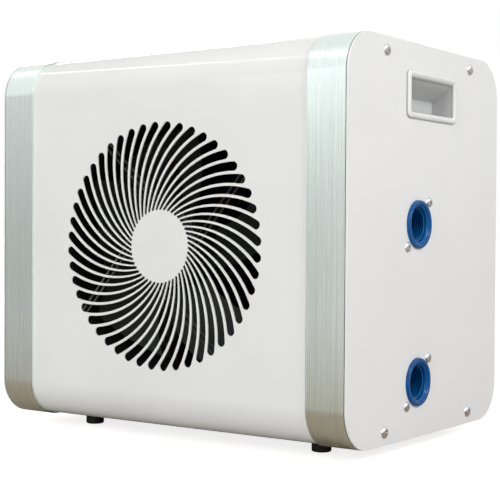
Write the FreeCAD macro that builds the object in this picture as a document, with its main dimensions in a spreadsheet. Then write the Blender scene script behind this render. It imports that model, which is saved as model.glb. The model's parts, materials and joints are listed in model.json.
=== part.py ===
"""Air-source heat pump unit for a small pool: cabinet, fan, refrigerant circuit and controls.

Frame: millimetres. The origin is on the floor below the middle of the cabinet. +Z is up, the
grille faces -Y, and the water ports face +X.
"""
import FreeCAD
import Part
import math
import operator
import os

import Sketcher
from FreeCAD import Placement, Rotation, Vector

doc = FreeCAD.newDocument("heat_pump_unit")

# ---------------------------------------------------------------------------------------------
# Driving dimensions
# ---------------------------------------------------------------------------------------------
DIMENSIONS = {
    # cabinet
    "cab_length": 454.0,          # over the outer faces of both end plates
    "cab_depth": 328.0,           # front to back over the end rings
    "cab_height": 400.0,          # end ring, bottom to top
    "corner_radius": 41.0,        # outer bend of the end rings and plates
    "foot_drop": 12.8,            # floor to the bottom of the end rings
    "plate_gauge": 2.0,
    "ring_wall": 1.5,
    "ring_width": 43.5,
    "ring_flange": 20.0,          # inward flange that the end plate is screwed to
    "seam_gap": 0.1,              # between an end ring and the cover under it
    "cover_gauge": 1.2,
    "cover_tuck": 8.0,            # how far the cover reaches under each end ring
    "rear_lip": 10.0,             # flat of the cover past its rear bends
    "panel_gap": 0.3,             # around the rear panel
    "lap": 8.0,                   # overlap of the rear panel behind the cover's lips
    # spiral grille
    "grille_drop": 7.0,           # grille centre below mid-height
    "slot_count": 48.0,
    "slot_inner": 37.7,           # radius where the slots start
    "slot_outer": 128.9,          # radius that the slot tips reach
    "slot_arc": 115.3,            # bend radius of a slot's centre line
    "slot_phase": 6.72,           # degrees from the right to the first slot's inner end
    "slot_sweep": 41.33,          # degrees from a slot's inner end to its tip
    "slot_narrow": 2.8,           # width of a slot at its inner end
    "slot_tip": 9.4,              # width of a slot at its tip
    # end plates
    "screw_inset_y": 72.0,        # corner screws, from the plate's edges
    "screw_inset_z": 13.5,
    "plate_screw": 2.5,           # shank radius
    "plate_screw_head": 6.0,      # head radius
    "plate_screw_rise": 3.0,
    "boss": 5.5,                  # weld nut radius on the end ring
    "boss_depth": 7.0,
    "screw_fit": 0.2,             # clearance around a screw's shank
    "thread_fit": 0.05,           # clearance around a screw in its own thread
    # handles
    "handle_y": 2.5,
    "handle_drop": 52.0,          # below the top of the cabinet
    "handle_width": 108.0,
    "handle_height": 48.0,
    "handle_corner": 6.0,
    "handle_rise": 3.5,
    "mouth_width": 93.0,
    "mouth_height": 35.0,
    "cup_depth": 23.5,
    "cup_drop": 8.0,              # how far the back of the cup sits below its middle
    "cup_nose": 16.0,             # height of the flat at the back of the cup
    "cup_wall": 2.0,
    "cup_fit": 0.4,
    # water ports
    "port_y": -24.0,
    "outlet_drop": 183.0,         # below the top of the cabinet
    "inlet_rise": 56.5,           # above the bottom of the cabinet
    "port_thread": 16.5,          # minor radius of the thread
    "port_mouth": 19.7,
    "port_collar": 24.5,
    "port_rise": 3.2,
    "port_depth": 24.0,
    "port_web": 5.0,              # wall behind the threaded socket
    "port_passage": 13.0,
    "port_barrel": 21.5,
    "port_flange": 29.0,
    "port_flange_gauge": 6.0,
    "port_fit": 0.3,
    "port_screw_circle": 32.5,
    "port_lobe": 8.0,
    "port_screw": 2.0,
    "port_screw_head": 5.25,
    "port_screw_rise": 2.6,
    "port_screw_length": 7.5,
    # feet
    "foot_inset_x": 73.0,         # from the cabinet's sides
    "foot_inset_y": 74.0,
    "foot_radius": 10.2,
    "foot_top_radius": 11.0,
    "foot_band": 3.0,
    "foot_screw": 2.5,
    "foot_screw_head": 4.6,
    "foot_screw_rise": 3.0,
    "foot_thread": 10.0,          # how deep the screw goes into the foot
    # base pan
    "pan_gauge": 1.5,
    "pan_lip": 12.0,
    "pan_inset": 1.5,
    # partition and air coil
    "machine_room": 139.0,        # from the partition to the right face
    "front_room": 89.0,           # the same beside the fan ring
    "ring_side_gap": 2.0,         # between the fan ring and the partition
    "partition_gauge": 1.2,
    "partition_turn": -80.0,      # where the partition steps around the fan ring
    "coil_inset": 32.0,           # from the cabinet's left face
    "coil_gap": 11.2,             # behind the coil, for the guard
    "coil_depth": 30.0,
    "coil_clear": 1.7,            # between the coil's shelf and the bend of the cover
    "fin_pitch": 8.0,
    "fin_gauge": 0.3,
    "sheet_gauge": 1.2,
    "sheet_overhang": 2.0,
    "tube_passes": 12.0,          # tubes in each of the two rows
    "tube_radius": 4.76,
    "tube_wall": 0.8,
    "tube_fit": 0.15,
    "tube_stub": 3.0,
    # rear guard
    "window_inset": 22.0,         # from the coil's ends
    "window_margin": 16.0,        # from the window to the panel's joggles
    "guard_wire": 1.2,
    "guard_bar": 1.5,
    "guard_reach": 8.0,           # how far the wires run past the window
    "guard_pitch": 20.0,
    "weld": 0.2,                  # how deep crossing wires sink into each other
    # fan
    "fan_bore": 128.0,            # inside radius of the fan ring
    "fan_ring_wall": 2.5,
    "fan_ring_length": 52.0,
    "fan_flange": 136.0,
    "fan_flange_gauge": 2.0,
    "fan_stud_circle": 143.0,
    "fan_stud": 2.0,
    "fan_lug": 8.0,
    "nut_radius": 3.6,
    "nut_height": 3.2,
    "arm_offset": 32.5,           # arms run past the motor's axis at this distance
    "arm_wire": 1.25,
    "arm_spread": 6.0,            # between the two wires of an arm
    "arm_angle": -41.0,           # direction of the first arm's nearest point, in degrees
    "arm_start": 24.0,            # how far an arm runs past that point
    "arm_clear": 0.1,
    "mount_plate": 42.0,
    "mount_plate_bore": 24.0,
    "mount_plate_gauge": 2.0,
    "motor_screw_circle": 33.0,
    # fan motor
    "stator_flange_gauge": 3.0,
    "stator_tube": 11.0,
    "stator_tube_length": 38.0,
    "stator_core": 30.0,
    "stator_core_start": 7.0,
    "stator_core_length": 22.0,
    "fan_shaft": 4.0,
    "shaft_fit": 0.03,
    "bearing_radius": 8.0,
    "bearing_width": 5.0,
    "bearing_seat_fit": 0.02,
    "bearing_shoulder": 6.5,
    "magnet_gap": 1.0,
    "rotor_wall": 9.0,
    "rotor_end": 3.0,
    "rotor_start": 4.0,
    "rotor_clear": 2.0,
    # fan impeller
    "hub_wall": 3.5,
    "hub_fit": 0.3,
    "hub_web": 2.5,
    "hub_eye": 12.0,
    "tip_clear": 4.0,
    "blade_count": 5.0,
    "blade_root_gauge": 3.0,
    "blade_tip_gauge": 1.8,
    "blade_sink": 3.0,            # depth of a blade's root in the hub
    "blade_trim": 8.0,            # stock that is cut off round the tips
    "blade_root_chord": 44.0,
    "blade_tip_chord": 92.0,
    "blade_root_pitch": 38.0,
    "blade_tip_pitch": 20.0,
    "blade_sweep": 26.0,
    "blade_camber": 0.07,
    # small screws of the rear panel and the fan motor
    "small_screw": 2.0,
    "small_screw_head": 4.0,
    "small_screw_rise": 2.2,
    "small_screw_length": 5.0,
    "rear_screw_inset": 87.0,     # from the cabinet's sides
    # heat exchanger
    "vessel_radius": 45.0,
    "vessel_wall": 4.0,
    "vessel_floor": 5.0,
    "vessel_head": 27.3,          # from the outlet to the vessel's rim
    "vessel_neck": 3.0,
    "neck_radius": 23.0,
    "lid_radius": 49.0,
    "lid_height": 10.0,
    "lid_plug": 9.0,
    "lid_fit": 0.2,
    "helix_radius": 30.0,
    "helix_turns": 9.25,
    "helix_head": 64.0,           # from the last turn to the vessel's rim
    "helix_base": 28.0,
    "helix_tube": 5.0,
    "helix_wall": 0.8,
    "helix_bend": 10.0,
    "helix_fit": 0.1,
    "tail_rise": 8.0,
    "tail_reach": 6.0,
    # flow switch
    "switch_stem": 8.0,
    "switch_body": 11.0,
    "switch_body_length": 28.0,
    "switch_fit": 0.1,
    "fork_slot": 5.0,
    "paddle_pin": 1.5,
    "paddle_fit": 0.05,
    "paddle_length": 24.0,
    "paddle_height": 14.0,
    "paddle_gauge": 1.0,
    # compressor
    "pump_radius": 44.0,
    "pump_drop": 23.5,            # top of the compressor below the vessel's rim
    "pump_dome": 14.0,
    "pump_wall": 3.0,
    "stub_radius": 7.0,           # discharge stub on the compressor's dome
    "stub_rise": 6.0,
    "pump_gap_x": 14.8,           # to the partition
    "pump_gap_y": 4.0,            # to the heat exchanger
    "pump_foot_circle": 52.0,
    "pump_foot_width": 26.0,
    "pump_foot_gauge": 2.5,
    "grommet_radius": 8.0,
    "grommet_neck": 6.0,
    "grommet_low": 10.0,
    "grommet_high": 3.5,
    "grommet_bore": 3.2,
    "grommet_lip": 1.0,           # how much narrower the grommet is above the foot plate
    "grommet_fit": 0.05,
    "pump_bolt": 3.0,
    "pump_bolt_head": 6.5,
    "pump_bolt_rise": 4.0,
    "seat_fit": 0.1,
    "motor_fit": 0.2,
    "rotor_radius": 23.5,
    "rotor_gap": 0.6,
    "motor_stack": 62.0,
    "motor_head": 24.0,           # from the motor's stack to the top of the shell
    "crank_radius": 7.0,
    "crank_fit": 0.04,
    "cylinder_base": 42.0,
    "cylinder_height": 14.0,
    "cylinder_bore": 18.0,
    "journal_height": 13.0,
    "eccentric_radius": 13.5,
    "eccentric_offset": 3.5,
    "eccentric_play": 0.5,
    "terminal_length": 34.0,
    "terminal_width": 40.0,
    "terminal_height": 22.0,
    "terminal_offset": 15.0,
    # accumulator
    "bottle_radius": 19.0,
    "bottle_height": 128.0,
    "bottle_dome": 10.0,
    "bottle_wall": 2.0,
    "bottle_drop": 2.0,           # below the top of the compressor
    "bottle_gap": 9.0,
    "bottle_angle": 46.0,
    "bracket_height": 16.0,
    "bracket_gauge": 2.5,
    # refrigerant pipes and valves
    "gas_pipe": 4.76,
    "suction_pipe": 6.35,
    "liquid_pipe": 3.18,
    "pipe_wall": 0.8,
    "pipe_bend": 9.0,
    "liquid_bend": 6.0,
    "valve_radius": 11.0,
    "valve_length": 84.0,
    "valve_y": 20.0,
    "valve_gap": 8.0,              # to the partition
    "valve_port_pitch": 18.0,
    "valve_lift": 32.9,           # valve axis above the vessel's rim
    "suction_lane": 35.0,         # pipes' centres from the valve's side
    "gas_lane": 15.0,
    "valve_coil_radius": 15.0,
    "valve_coil_length": 18.0,
    "liquid_run": 8.8,            # liquid line's centre from the partition
    "expansion_radius": 7.5,
    "expansion_height": 44.0,
    "expansion_z": 150.0,
    # control box
    "box_length": 88.0,
    "box_clear": 2.0,             # behind the step of the partition
    "box_width": 183.0,
    "box_lift": 40.0,             # above the valve's axis
    "box_height": 56.0,
    "box_gauge": 1.0,
    "post_radius": 3.0,
    "post_height": 6.0,
    "board_margin": 7.0,
    "board_gauge": 1.6,
    "board_length": 118.0,
    "capacitor_radius": 17.0,
    "capacitor_length": 52.0,
    # display on the top
    "display_inset": 92.0,        # from the cabinet's right face
    "display_y": -50.0,
    "display_length": 86.0,
    "display_width": 52.0,
    "display_corner": 6.0,
    "display_rise": 1.6,
    "display_wall": 1.6,
    "display_flange": 5.0,
    "display_depth": 10.0,
    "panel_gauge": 2.0,
    "panel_fit": 0.15,
    "button_radius": 5.0,
    "button_fit": 0.2,
    "button_pitch": 20.0,
    "button_row": 12.0,           # buttons in front of the middle of the panel
    "button_rise": 1.0,
    "button_travel": 0.8,
    "button_rim": 1.2,
    "button_rim_height": 1.2,
    # cable gland
    "gland_inset": 87.0,          # from the cabinet's right face
    "gland_drop": 112.8,          # below the top of the cabinet
    "gland_head": 12.0,
    "gland_nose": 8.0,
    "gland_rise": 6.0,
    "gland_shank": 8.0,
    "gland_bore": 4.5,
    "gland_depth": 12.0,
    "gland_nut": 12.5,
    "gland_nut_gauge": 4.0,
    "gland_fit": 0.1,
    # condensate drain
    "drain_x": -40.0,
    "drain_y": 40.0,
    "drain_radius": 8.0,          # tail that the hose is pushed on
    "drain_bore": 6.0,
    "drain_reach": 10.0,          # how far the tail hangs below the cover
    "drain_neck": 9.0,            # thicker neck in the pan, which stops the hose
    "drain_stop": 0.2,            # how far the neck stands out of the cover
    "drain_flange": 14.0,
    "drain_flange_gauge": 2.0,
    "drain_fit": 0.2,
}

sheet = doc.addObject("Spreadsheet::Sheet", "Dims")
for row, (alias, number) in enumerate(DIMENSIONS.items(), start=1):
    sheet.set(f"A{row}", alias)
    sheet.set(f"B{row}", str(number))
    sheet.setAlias(f"B{row}", alias)
doc.recompute()


class Size:
    """A number from the sheet, or a result of such numbers, that also knows its formula."""

    def __init__(self, value, formula):
        self.value = value
        self.formula = formula

    def __float__(self):
        return self.value

    def __neg__(self):
        return Size(-self.value, f"(-{self.formula})")

    def __add__(self, other):
        return combine(self, "+", other)

    def __radd__(self, other):
        return combine(other, "+", self)

    def __sub__(self, other):
        return combine(self, "-", other)

    def __rsub__(self, other):
        return combine(other, "-", self)

    def __mul__(self, other):
        return combine(self, "*", other)

    def __rmul__(self, other):
        return combine(other, "*", self)

    def __truediv__(self, other):
        return combine(self, "/", other)

    def __rtruediv__(self, other):
        return combine(other, "/", self)


SIGNS = {"+": operator.add, "-": operator.sub, "*": operator.mul, "/": operator.truediv}


def formula_of(number):
    return number.formula if isinstance(number, Size) else repr(float(number))


def combine(left, sign, right):
    value = SIGNS[sign](float(left), float(right))
    return Size(value, f"({formula_of(left)} {sign} {formula_of(right)})")


def root(number):
    """Square root of a size."""
    return Size(math.sqrt(float(number)), f"sqrt({formula_of(number)})")


class Sheet:
    """Gives each alias of the sheet as a Size."""

    def __getattr__(self, alias):
        return Size(float(sheet.get(alias)), f"Dims.{alias}")


d = Sheet()

# ---------------------------------------------------------------------------------------------
# Tools: every number that they take may be a Size, and is then bound to the sheet
# ---------------------------------------------------------------------------------------------
TURNS = {
    "X": Rotation(Vector(0, 0, 1), Vector(1, 0, 0)),
    "-X": Rotation(Vector(0, 0, 1), Vector(-1, 0, 0)),
    "Y": Rotation(Vector(0, 0, 1), Vector(0, 1, 0)),
    "-Y": Rotation(Vector(0, 0, 1), Vector(0, -1, 0)),
    "Z": Rotation(),
    "-Z": Rotation(Vector(1, 0, 0), 180),
}
THROUGH = 1.0                     # how far a cutting tool runs past a face
NEARLY_ROUND = 0.95               # share of the half width that a rounded end's corners take
CROSS_ARM = 1 / 8                 # half width of a screw's cross, as a share of the head's radius


def bind(item, prop, number):
    if isinstance(number, Size):
        item.setExpression(prop, number.formula)
    else:
        setattr(item, prop, number)


def place(item, at, turn=None):
    """Puts the item at a point, turned by a Rotation, and binds the point to the sheet."""
    item.Placement = Placement(Vector(*(float(c) for c in at)), turn or Rotation())
    for letter, coordinate in zip("xyz", at):
        if isinstance(coordinate, Size):
            item.setExpression(f"Placement.Base.{letter}", coordinate.formula)


def block(name, low, high):
    """Box between two corners."""
    item = doc.addObject("Part::Box", name)
    for prop, start, end in zip(("Length", "Width", "Height"), low, high):
        bind(item, prop, end - start)
    place(item, low)
    return item


def rod(name, axis, start, radius, length):
    """Cylinder from a point along an axis such as "X" or "-Z"."""
    item = doc.addObject("Part::Cylinder", name)
    bind(item, "Radius", radius)
    bind(item, "Height", length)
    place(item, start, TURNS[axis])
    return item


def joined(name, *items):
    item = doc.addObject("Part::MultiFuse", name)
    item.Shapes = list(items)
    item.Refine = True
    return item


def grouped(name, *items):
    """Separate solids kept together as one node."""
    item = doc.addObject("Part::Compound", name)
    item.Links = list(items)
    return item


def without(name, base, *tools):
    """The base with the tools cut from it."""
    item = doc.addObject("Part::Cut", name)
    item.Base = base
    item.Tool = tools[0] if len(tools) == 1 else joined(f"{name}_tools", *tools)
    return item


def common(name, first, second):
    item = doc.addObject("Part::Common", name)
    item.Base = first
    item.Tool = second
    return item


def shaped(name, shape):
    """A sub-part whose shape is worked out in code from the sheet's sizes."""
    item = doc.addObject("Part::Feature", name)
    item.Shape = shape
    return item


def new_sketch(body, role):
    planes = [plane for plane in body.Origin.OriginFeatures if plane.Role == role]
    sketch = body.newObject("Sketcher::SketchObject", f"{body.Name}_sketch")
    sketch.AttachmentSupport = [(planes[0], "")]
    sketch.MapMode = "FlatFace"
    return sketch


def dimension(sketch, number, kind, *where):
    """Adds a dimension whose value follows the sheet."""
    index = sketch.addConstraint(Sketcher.Constraint(kind, *where, float(number)))
    if isinstance(number, Size):
        sketch.setExpression(f"Constraints[{index}]", number.formula)


def draw_rounded(sketch, low, high, radius):
    """Rounded rectangle between two corners."""
    x0, y0, x1, y1, r = (float(number) for number in (*low, *high, radius))
    up = Vector(0, 0, 1)
    corners = [
        (x1 - r, y0 + r, -90),
        (x1 - r, y1 - r, 0),
        (x0 + r, y1 - r, 90),
        (x0 + r, y0 + r, 180),
    ]
    sides = [
        (x0 + r, y0, x1 - r, y0),
        (x1, y0 + r, x1, y1 - r),
        (x1 - r, y1, x0 + r, y1),
        (x0, y1 - r, x0, y0 + r),
    ]
    edges = []
    for (xa, ya, xb, yb), (xc, yc, angle) in zip(sides, corners):
        edges.append(Part.LineSegment(Vector(xa, ya, 0), Vector(xb, yb, 0)))
        circle = Part.Circle(Vector(xc, yc, 0), up, r)
        edges.append(Part.ArcOfCircle(circle, math.radians(angle), math.radians(angle + 90)))
    ids = sketch.addGeometry(edges, False)
    rules = [Sketcher.Constraint("Tangent", ids[n], 2, ids[(n + 1) % 8], 1) for n in range(8)]
    rules += [Sketcher.Constraint("Horizontal", ids[n]) for n in (0, 4)]
    rules += [Sketcher.Constraint("Vertical", ids[n]) for n in (2, 6)]
    rules += [Sketcher.Constraint("Equal", ids[1], ids[n]) for n in (3, 5, 7)]
    sketch.addConstraint(rules)
    dimension(sketch, radius, "Radius", ids[1])
    dimension(sketch, high[0], "DistanceX", -1, 1, ids[2], 1)
    dimension(sketch, low[0], "DistanceX", -1, 1, ids[6], 1)
    dimension(sketch, high[1], "DistanceY", -1, 1, ids[4], 1)
    dimension(sketch, low[1], "DistanceY", -1, 1, ids[0], 1)


def draw_profile(sketch, points):
    """Closed outline, counter-clockwise. A third number at a point is the radius of the arc
    that arrives there, and that arc bulges outwards."""
    spots = [Vector(float(point[0]), float(point[1]), 0) for point in points]
    edges = []
    for here, there, point in zip(spots, spots[1:] + spots[:1], points[1:] + points[:1]):
        if len(point) == 2:
            edges.append(Part.LineSegment(here, there))
            continue
        chord = there - here
        left = Vector(-chord.y, chord.x, 0).normalize()
        radius = float(point[2])
        centre = here + chord * 0.5 + left * math.sqrt(radius ** 2 - (chord.Length / 2) ** 2)
        start, end = (math.atan2(spot.y - centre.y, spot.x - centre.x) for spot in (here, there))
        edges.append(Part.ArcOfCircle(Part.Circle(centre, Vector(0, 0, 1), radius), start, end))
    ids = sketch.addGeometry(edges, False)
    count = len(ids)
    for n in range(count):
        sketch.addConstraint(Sketcher.Constraint("Coincident", ids[n], 2, ids[(n + 1) % count], 1))
    for n, point in enumerate(points):
        dimension(sketch, point[0], "DistanceX", -1, 1, ids[n], 1)
        dimension(sketch, point[1], "DistanceY", -1, 1, ids[n], 1)
        if len(point) == 3:
            dimension(sketch, point[2], "Radius", ids[n - 1])


def turned(name, points, at=(0, 0, 0), axis="Z"):
    """Body of revolution. Its profile is (radius, height along the axis)."""
    body = doc.addObject("PartDesign::Body", name)
    sketch = new_sketch(body, "XZ_Plane")
    draw_profile(sketch, points)
    revolution = body.newObject("PartDesign::Revolution", f"{name}_revolution")
    revolution.Profile = sketch
    revolution.ReferenceAxis = (sketch, ["V_Axis"])
    revolution.Angle = 360
    place(body, at, TURNS[axis])
    return body


def rounded_pad(name, low, high, radius, start, thickness, normal="X", turn=None, centre=(0, 0)):
    """Rounded rectangle, thickened along X from start. Its corners are (y, z) about the centre.
    With normal Z the corners are (x, y) instead."""
    body = doc.addObject("PartDesign::Body", name)
    sketch = new_sketch(body, "YZ_Plane" if normal == "X" else "XY_Plane")
    draw_rounded(sketch, low, high, radius)
    pad = body.newObject("PartDesign::Pad", f"{name}_pad")
    pad.Profile = sketch
    bind(pad, "Length", thickness)
    at = (start, *centre) if normal == "X" else (*centre, start)
    place(body, at, turn)
    return body


def extruded(name, points, at, width):
    """Outline in (x, z), thickened evenly to both sides of the point's y."""
    body = doc.addObject("PartDesign::Body", name)
    sketch = new_sketch(body, "XZ_Plane")
    draw_profile(sketch, points)
    pad = body.newObject("PartDesign::Pad", f"{name}_pad")
    pad.Profile = sketch
    pad.Midplane = True
    bind(pad, "Length", width)
    place(body, at)
    return body


def copies(template, spots, axis="Z"):
    """Compound of the template's shape, moved to each spot. The template lies along Z."""
    shapes = []
    for spot in spots:
        copy = template.Shape.copy()
        copy.Placement = Placement(Vector(*(float(c) for c in spot)), TURNS[axis])
        shapes.append(copy)
    return Part.makeCompound(shapes)


def bent_path(points, bend):
    """Straight runs joined by tangent arcs of one radius."""
    spots = [Vector(*(float(c) for c in point)) for point in points]
    edges = []
    here = spots[0]
    for corner, after in zip(spots[1:], spots[2:]):
        towards = (corner - here).normalize()
        away = (after - corner).normalize()
        turn = towards.getAngle(away)
        setback = float(bend) * math.tan(turn / 2)
        start = corner - towards * setback
        end = corner + away * setback
        inward = (away - towards).normalize()
        middle = corner + inward * (float(bend) / math.cos(turn / 2) - float(bend))
        edges.append(Part.LineSegment(here, start).toShape())
        edges.append(Part.Arc(start, middle, end).toShape())
        here = end
    edges.append(Part.LineSegment(here, spots[-1]).toShape())
    return Part.Wire(edges)


def arc_leaving(start, heading, end):
    """Arc from start, along a heading, to end."""
    chord = end - start
    turn = chord.getAngle(heading)
    aside = (heading - chord.normalize() * math.cos(turn)).normalize()
    middle = (start + end) * 0.5 + aside * ((end - start).Length / 2 * math.tan(turn / 2))
    return Part.Arc(start, middle, end).toShape()


def two_arcs(start, start_heading, end, end_heading):
    """Two tangent arcs that leave and arrive along the headings."""
    span = end - start
    both = span.dot(start_heading + end_heading)
    spread = 2 * (1 - start_heading.dot(end_heading))
    reach = (math.sqrt(both ** 2 + spread * span.dot(span)) - both) / spread
    joint = (start + end + (start_heading - end_heading) * reach) * 0.5
    first = arc_leaving(start, start_heading, joint)
    second = arc_leaving(end, end_heading * -1, joint)
    return [first, second]


def swept(path, radius, wall):
    """Hollow pipe along a path."""
    first = path.OrderedEdges[0]
    start = first.valueAt(first.FirstParameter)
    heading = first.tangentAt(first.FirstParameter)
    rings = [Part.Wire(Part.makeCircle(r, start, heading)) for r in (radius, radius - wall)]
    section = Part.Face(rings[0]).cut(Part.Face(rings[1])).Faces[0]
    return path.makePipe(section)


def pipe(points, radius, bend):
    return swept(bent_path(points, bend), float(radius), float(d.pipe_wall))


def pan_head_screw(name, shank, head, rise, length):
    """Screw along Z: the shank runs down from zero and the domed head stands above it."""
    dome = (head * head + rise * rise) / (2 * rise)
    profile = [(0, -length), (shank, -length), (shank, 0), (head, 0), (0, rise, dome)]
    whole = turned(f"{name}_blank", profile)
    slot = head * CROSS_ARM
    arms = [
        block(f"{name}_cross_x", (-head / 2, -slot, rise / 2), (head / 2, slot, rise + THROUGH)),
        block(f"{name}_cross_y", (-slot, -head / 2, rise / 2), (slot, head / 2, rise + THROUGH)),
    ]
    return without(name, whole, *arms)


# ---------------------------------------------------------------------------------------------
# Places that several sub-parts share
# ---------------------------------------------------------------------------------------------
half_length = d.cab_length / 2
half_depth = d.cab_depth / 2
half_height = d.cab_height / 2
base_z = d.foot_drop
mid_z = base_z + half_height
top_z = base_z + d.cab_height
plate_back = half_length - d.plate_gauge
ring_inner = plate_back - d.ring_width
ring_step = d.ring_wall + d.seam_gap
cover_y = half_depth - ring_step                  # outside of the cover, front and back
cover_low = base_z + ring_step
cover_high = top_z - ring_step
cover_end = ring_inner + d.cover_tuck
skin = ring_step + d.cover_gauge                  # inside of the cover, from the ring's outside
skin_y = half_depth - skin
skin_low = base_z + skin
skin_high = top_z - skin
bend_in = d.corner_radius - skin
bend_low = base_z + d.corner_radius               # where the flat rear and front start
bend_high = top_z - d.corner_radius
pan_top = skin_low + d.pan_gauge
grille_z = mid_z - d.grille_drop
SIDES = {"left": -1, "right": 1}


def outline_pad(name, inset, start, end):
    """Slab with the cabinet's side outline, set in evenly, from one x to another."""
    low = (-half_depth + inset, base_z + inset)
    high = (half_depth - inset, top_z - inset)
    return rounded_pad(name, low, high, d.corner_radius - inset, start, end - start)


def towards_side(sign, near, far):
    """The lower and higher x of a stretch on the left or the right side."""
    return (near, far) if sign > 0 else (-far, -near)


screw_y = half_depth - d.screw_inset_y
screw_z = half_height - d.screw_inset_z
corner_spots = [(sy * screw_y, mid_z + sz * screw_z) for sy in (-1, 1) for sz in (-1, 1)]
port_levels = {"outlet": top_z - d.outlet_drop, "inlet": base_z + d.inlet_rise}
port_back = half_length - d.port_depth
diagonal = d.port_screw_circle / math.sqrt(2)
port_screw_spots = {
    port: [(d.port_y + side * diagonal, level + side * diagonal) for side in (1, -1)]
    for port, level in port_levels.items()
}
foot_x = half_length - d.foot_inset_x
foot_y = half_depth - d.foot_inset_y
foot_spots = {
    "front_left": (-foot_x, -foot_y),
    "front_right": (foot_x, -foot_y),
    "rear_left": (-foot_x, foot_y),
    "rear_right": (foot_x, foot_y),
}
partition_x = half_length - d.machine_room
partition_far = half_length - d.front_room
fan_x = partition_far - d.ring_side_gap - d.fan_flange
coil_left = d.coil_inset - half_length
coil_right = partition_x - d.sheet_gauge
coil_back = skin_y - d.coil_gap
coil_front = coil_back - d.coil_depth
display_x = half_length - d.display_inset
gland_at = (half_length - d.gland_inset, top_z - d.gland_drop)
vessel_top = port_levels["outlet"] + d.vessel_head

# ---------------------------------------------------------------------------------------------
# Cabinet
# ---------------------------------------------------------------------------------------------
# The fan's studs stand where the arms of the motor support end.
stud_reach = root(d.fan_stud_circle * d.fan_stud_circle - d.arm_offset * d.arm_offset)
stud_spots = []
for quarter in range(4):
    foot_angle = math.radians(float(d.arm_angle) + 90 * quarter)
    across, along = math.cos(foot_angle), math.sin(foot_angle)
    stud_x = fan_x + d.arm_offset * across - stud_reach * along
    stud_z = grille_z + d.arm_offset * along + stud_reach * across
    stud_spots.append((stud_x, stud_z))


def arc_between(start, end, radius):
    """Arc from start to end in the XZ plane that bulges to the left of its way."""
    chord = end - start
    left = Vector(-chord.z, 0, chord.x).normalize()
    half = chord.Length / 2
    bulge = radius - math.sqrt(radius ** 2 - half ** 2)
    return Part.Arc(start, start + chord * 0.5 + left * bulge, end).toShape()


def grille_cutters():
    """One cutter for each curved slot: it widens outwards and ends in a round tip."""
    tip = float(d.slot_tip) / 2
    tip_radius = float(d.slot_outer) - tip
    arc = float(d.slot_arc)
    inner = float(d.slot_inner)
    sweep = math.radians(float(d.slot_sweep))
    narrow = float(d.slot_narrow) / 2

    def spot(radius, angle):
        return Vector(radius * math.cos(angle), 0, radius * math.sin(angle))

    # the slot's width is set square to its centre line at both ends
    start, end = spot(inner, 0), spot(tip_radius, -sweep)
    chord = end - start
    half_turn = math.asin(chord.Length / 2 / arc)
    heading = math.atan2(chord.z, chord.x)
    first, last = heading + half_turn, heading - half_turn
    side_in = spot(narrow, first + math.pi / 2)
    side_out = spot(tip, last + math.pi / 2)
    upper = arc_between(start + side_in, end + side_out, arc)
    nose = Part.Arc(end + side_out, end + spot(tip, last), end - side_out).toShape()
    lower = arc_between(start - side_in, end - side_out, arc)
    close = Part.LineSegment(start - side_in, start + side_in).toShape()
    face = Part.Face(Part.Wire(Part.__sortEdges__([upper, nose, lower, close])))
    cutter = face.extrude(Vector(0, float(d.cover_gauge) + 2 * THROUGH, 0))
    count = round(float(d.slot_count))
    slots = []
    for number in range(count):
        copy = cutter.copy()
        turn = float(d.slot_phase) + 360 * number / count
        copy.rotate(Vector(), Vector(0, 1, 0), -turn)
        copy.translate(Vector(float(fan_x), -float(cover_y) - THROUGH, float(grille_z)))
        slots.append(copy)
    return Part.makeCompound(slots)


def build_cover():
    """Painted sheet bent round the front, the top and the bottom, with lips at the back."""
    tube = without(
        "cover_tube",
        outline_pad("cover_outside", ring_step, -cover_end, cover_end),
        outline_pad("cover_inside", skin, -cover_end - THROUGH, cover_end + THROUGH),
    )
    rear = block(
        "cover_rear_opening",
        (-cover_end - THROUGH, skin_y - THROUGH, bend_low + d.rear_lip),
        (cover_end + THROUGH, half_depth, bend_high - d.rear_lip),
    )
    half_x = d.display_length / 2 - d.display_flange + d.panel_fit
    half_y = d.display_width / 2 - d.display_flange + d.panel_fit
    display = rounded_pad(
        "cover_display_opening",
        (-half_x, -half_y),
        (half_x, half_y),
        d.display_corner / 2,
        skin_high - THROUGH,
        d.cover_gauge + 2 * THROUGH,
        normal="Z",
        centre=(display_x, d.display_y),
    )
    drain = rod(
        "cover_drain_hole",
        "Z",
        (d.drain_x, d.drain_y, cover_low - THROUGH),
        d.drain_neck + d.drain_fit,
        d.cover_gauge + 2 * THROUGH,
    )
    feet = [
        rod(
            f"cover_foot_hole_{name}",
            "Z",
            (x, y, cover_low - THROUGH),
            d.foot_screw + d.screw_fit,
            d.cover_gauge + 2 * THROUGH,
        )
        for name, (x, y) in foot_spots.items()
    ]
    rear_holes = [
        rod(
            f"cover_rear_hole_{n}",
            "Y",
            (x, skin_y - THROUGH, z),
            d.small_screw + d.screw_fit,
            d.cover_gauge + 2 * THROUGH,
        )
        for n, (x, z) in enumerate(rear_screw_spots)
    ]
    opened = without("cover_opened", tube, rear, display, drain, *feet, *rear_holes)
    slots = shaped("grille_slots", grille_cutters())
    slotted = without("cover_slotted", opened, slots)
    studs = [
        rod(f"cover_stud_{n}", "Y", (x, -skin_y, z), d.fan_stud, stud_length)
        for n, (x, z) in enumerate(stud_spots)
    ]
    return joined("wrap_cover", slotted, *studs)


arm_level = d.arm_clear + d.arm_wire              # arms' centre, behind the cover's front
ring_start = 2 * d.arm_wire + 2 * d.arm_clear     # fan ring's flange, behind the cover's front
stud_length = ring_start + d.fan_flange_gauge + d.nut_height + THROUGH
lip_middle = d.rear_lip / 2
rear_screw_spots = [
    (side * (half_length - d.rear_screw_inset), level)
    for side in (-1, 0, 1)
    for level in (bend_low + lip_middle, bend_high - lip_middle)
]


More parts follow.
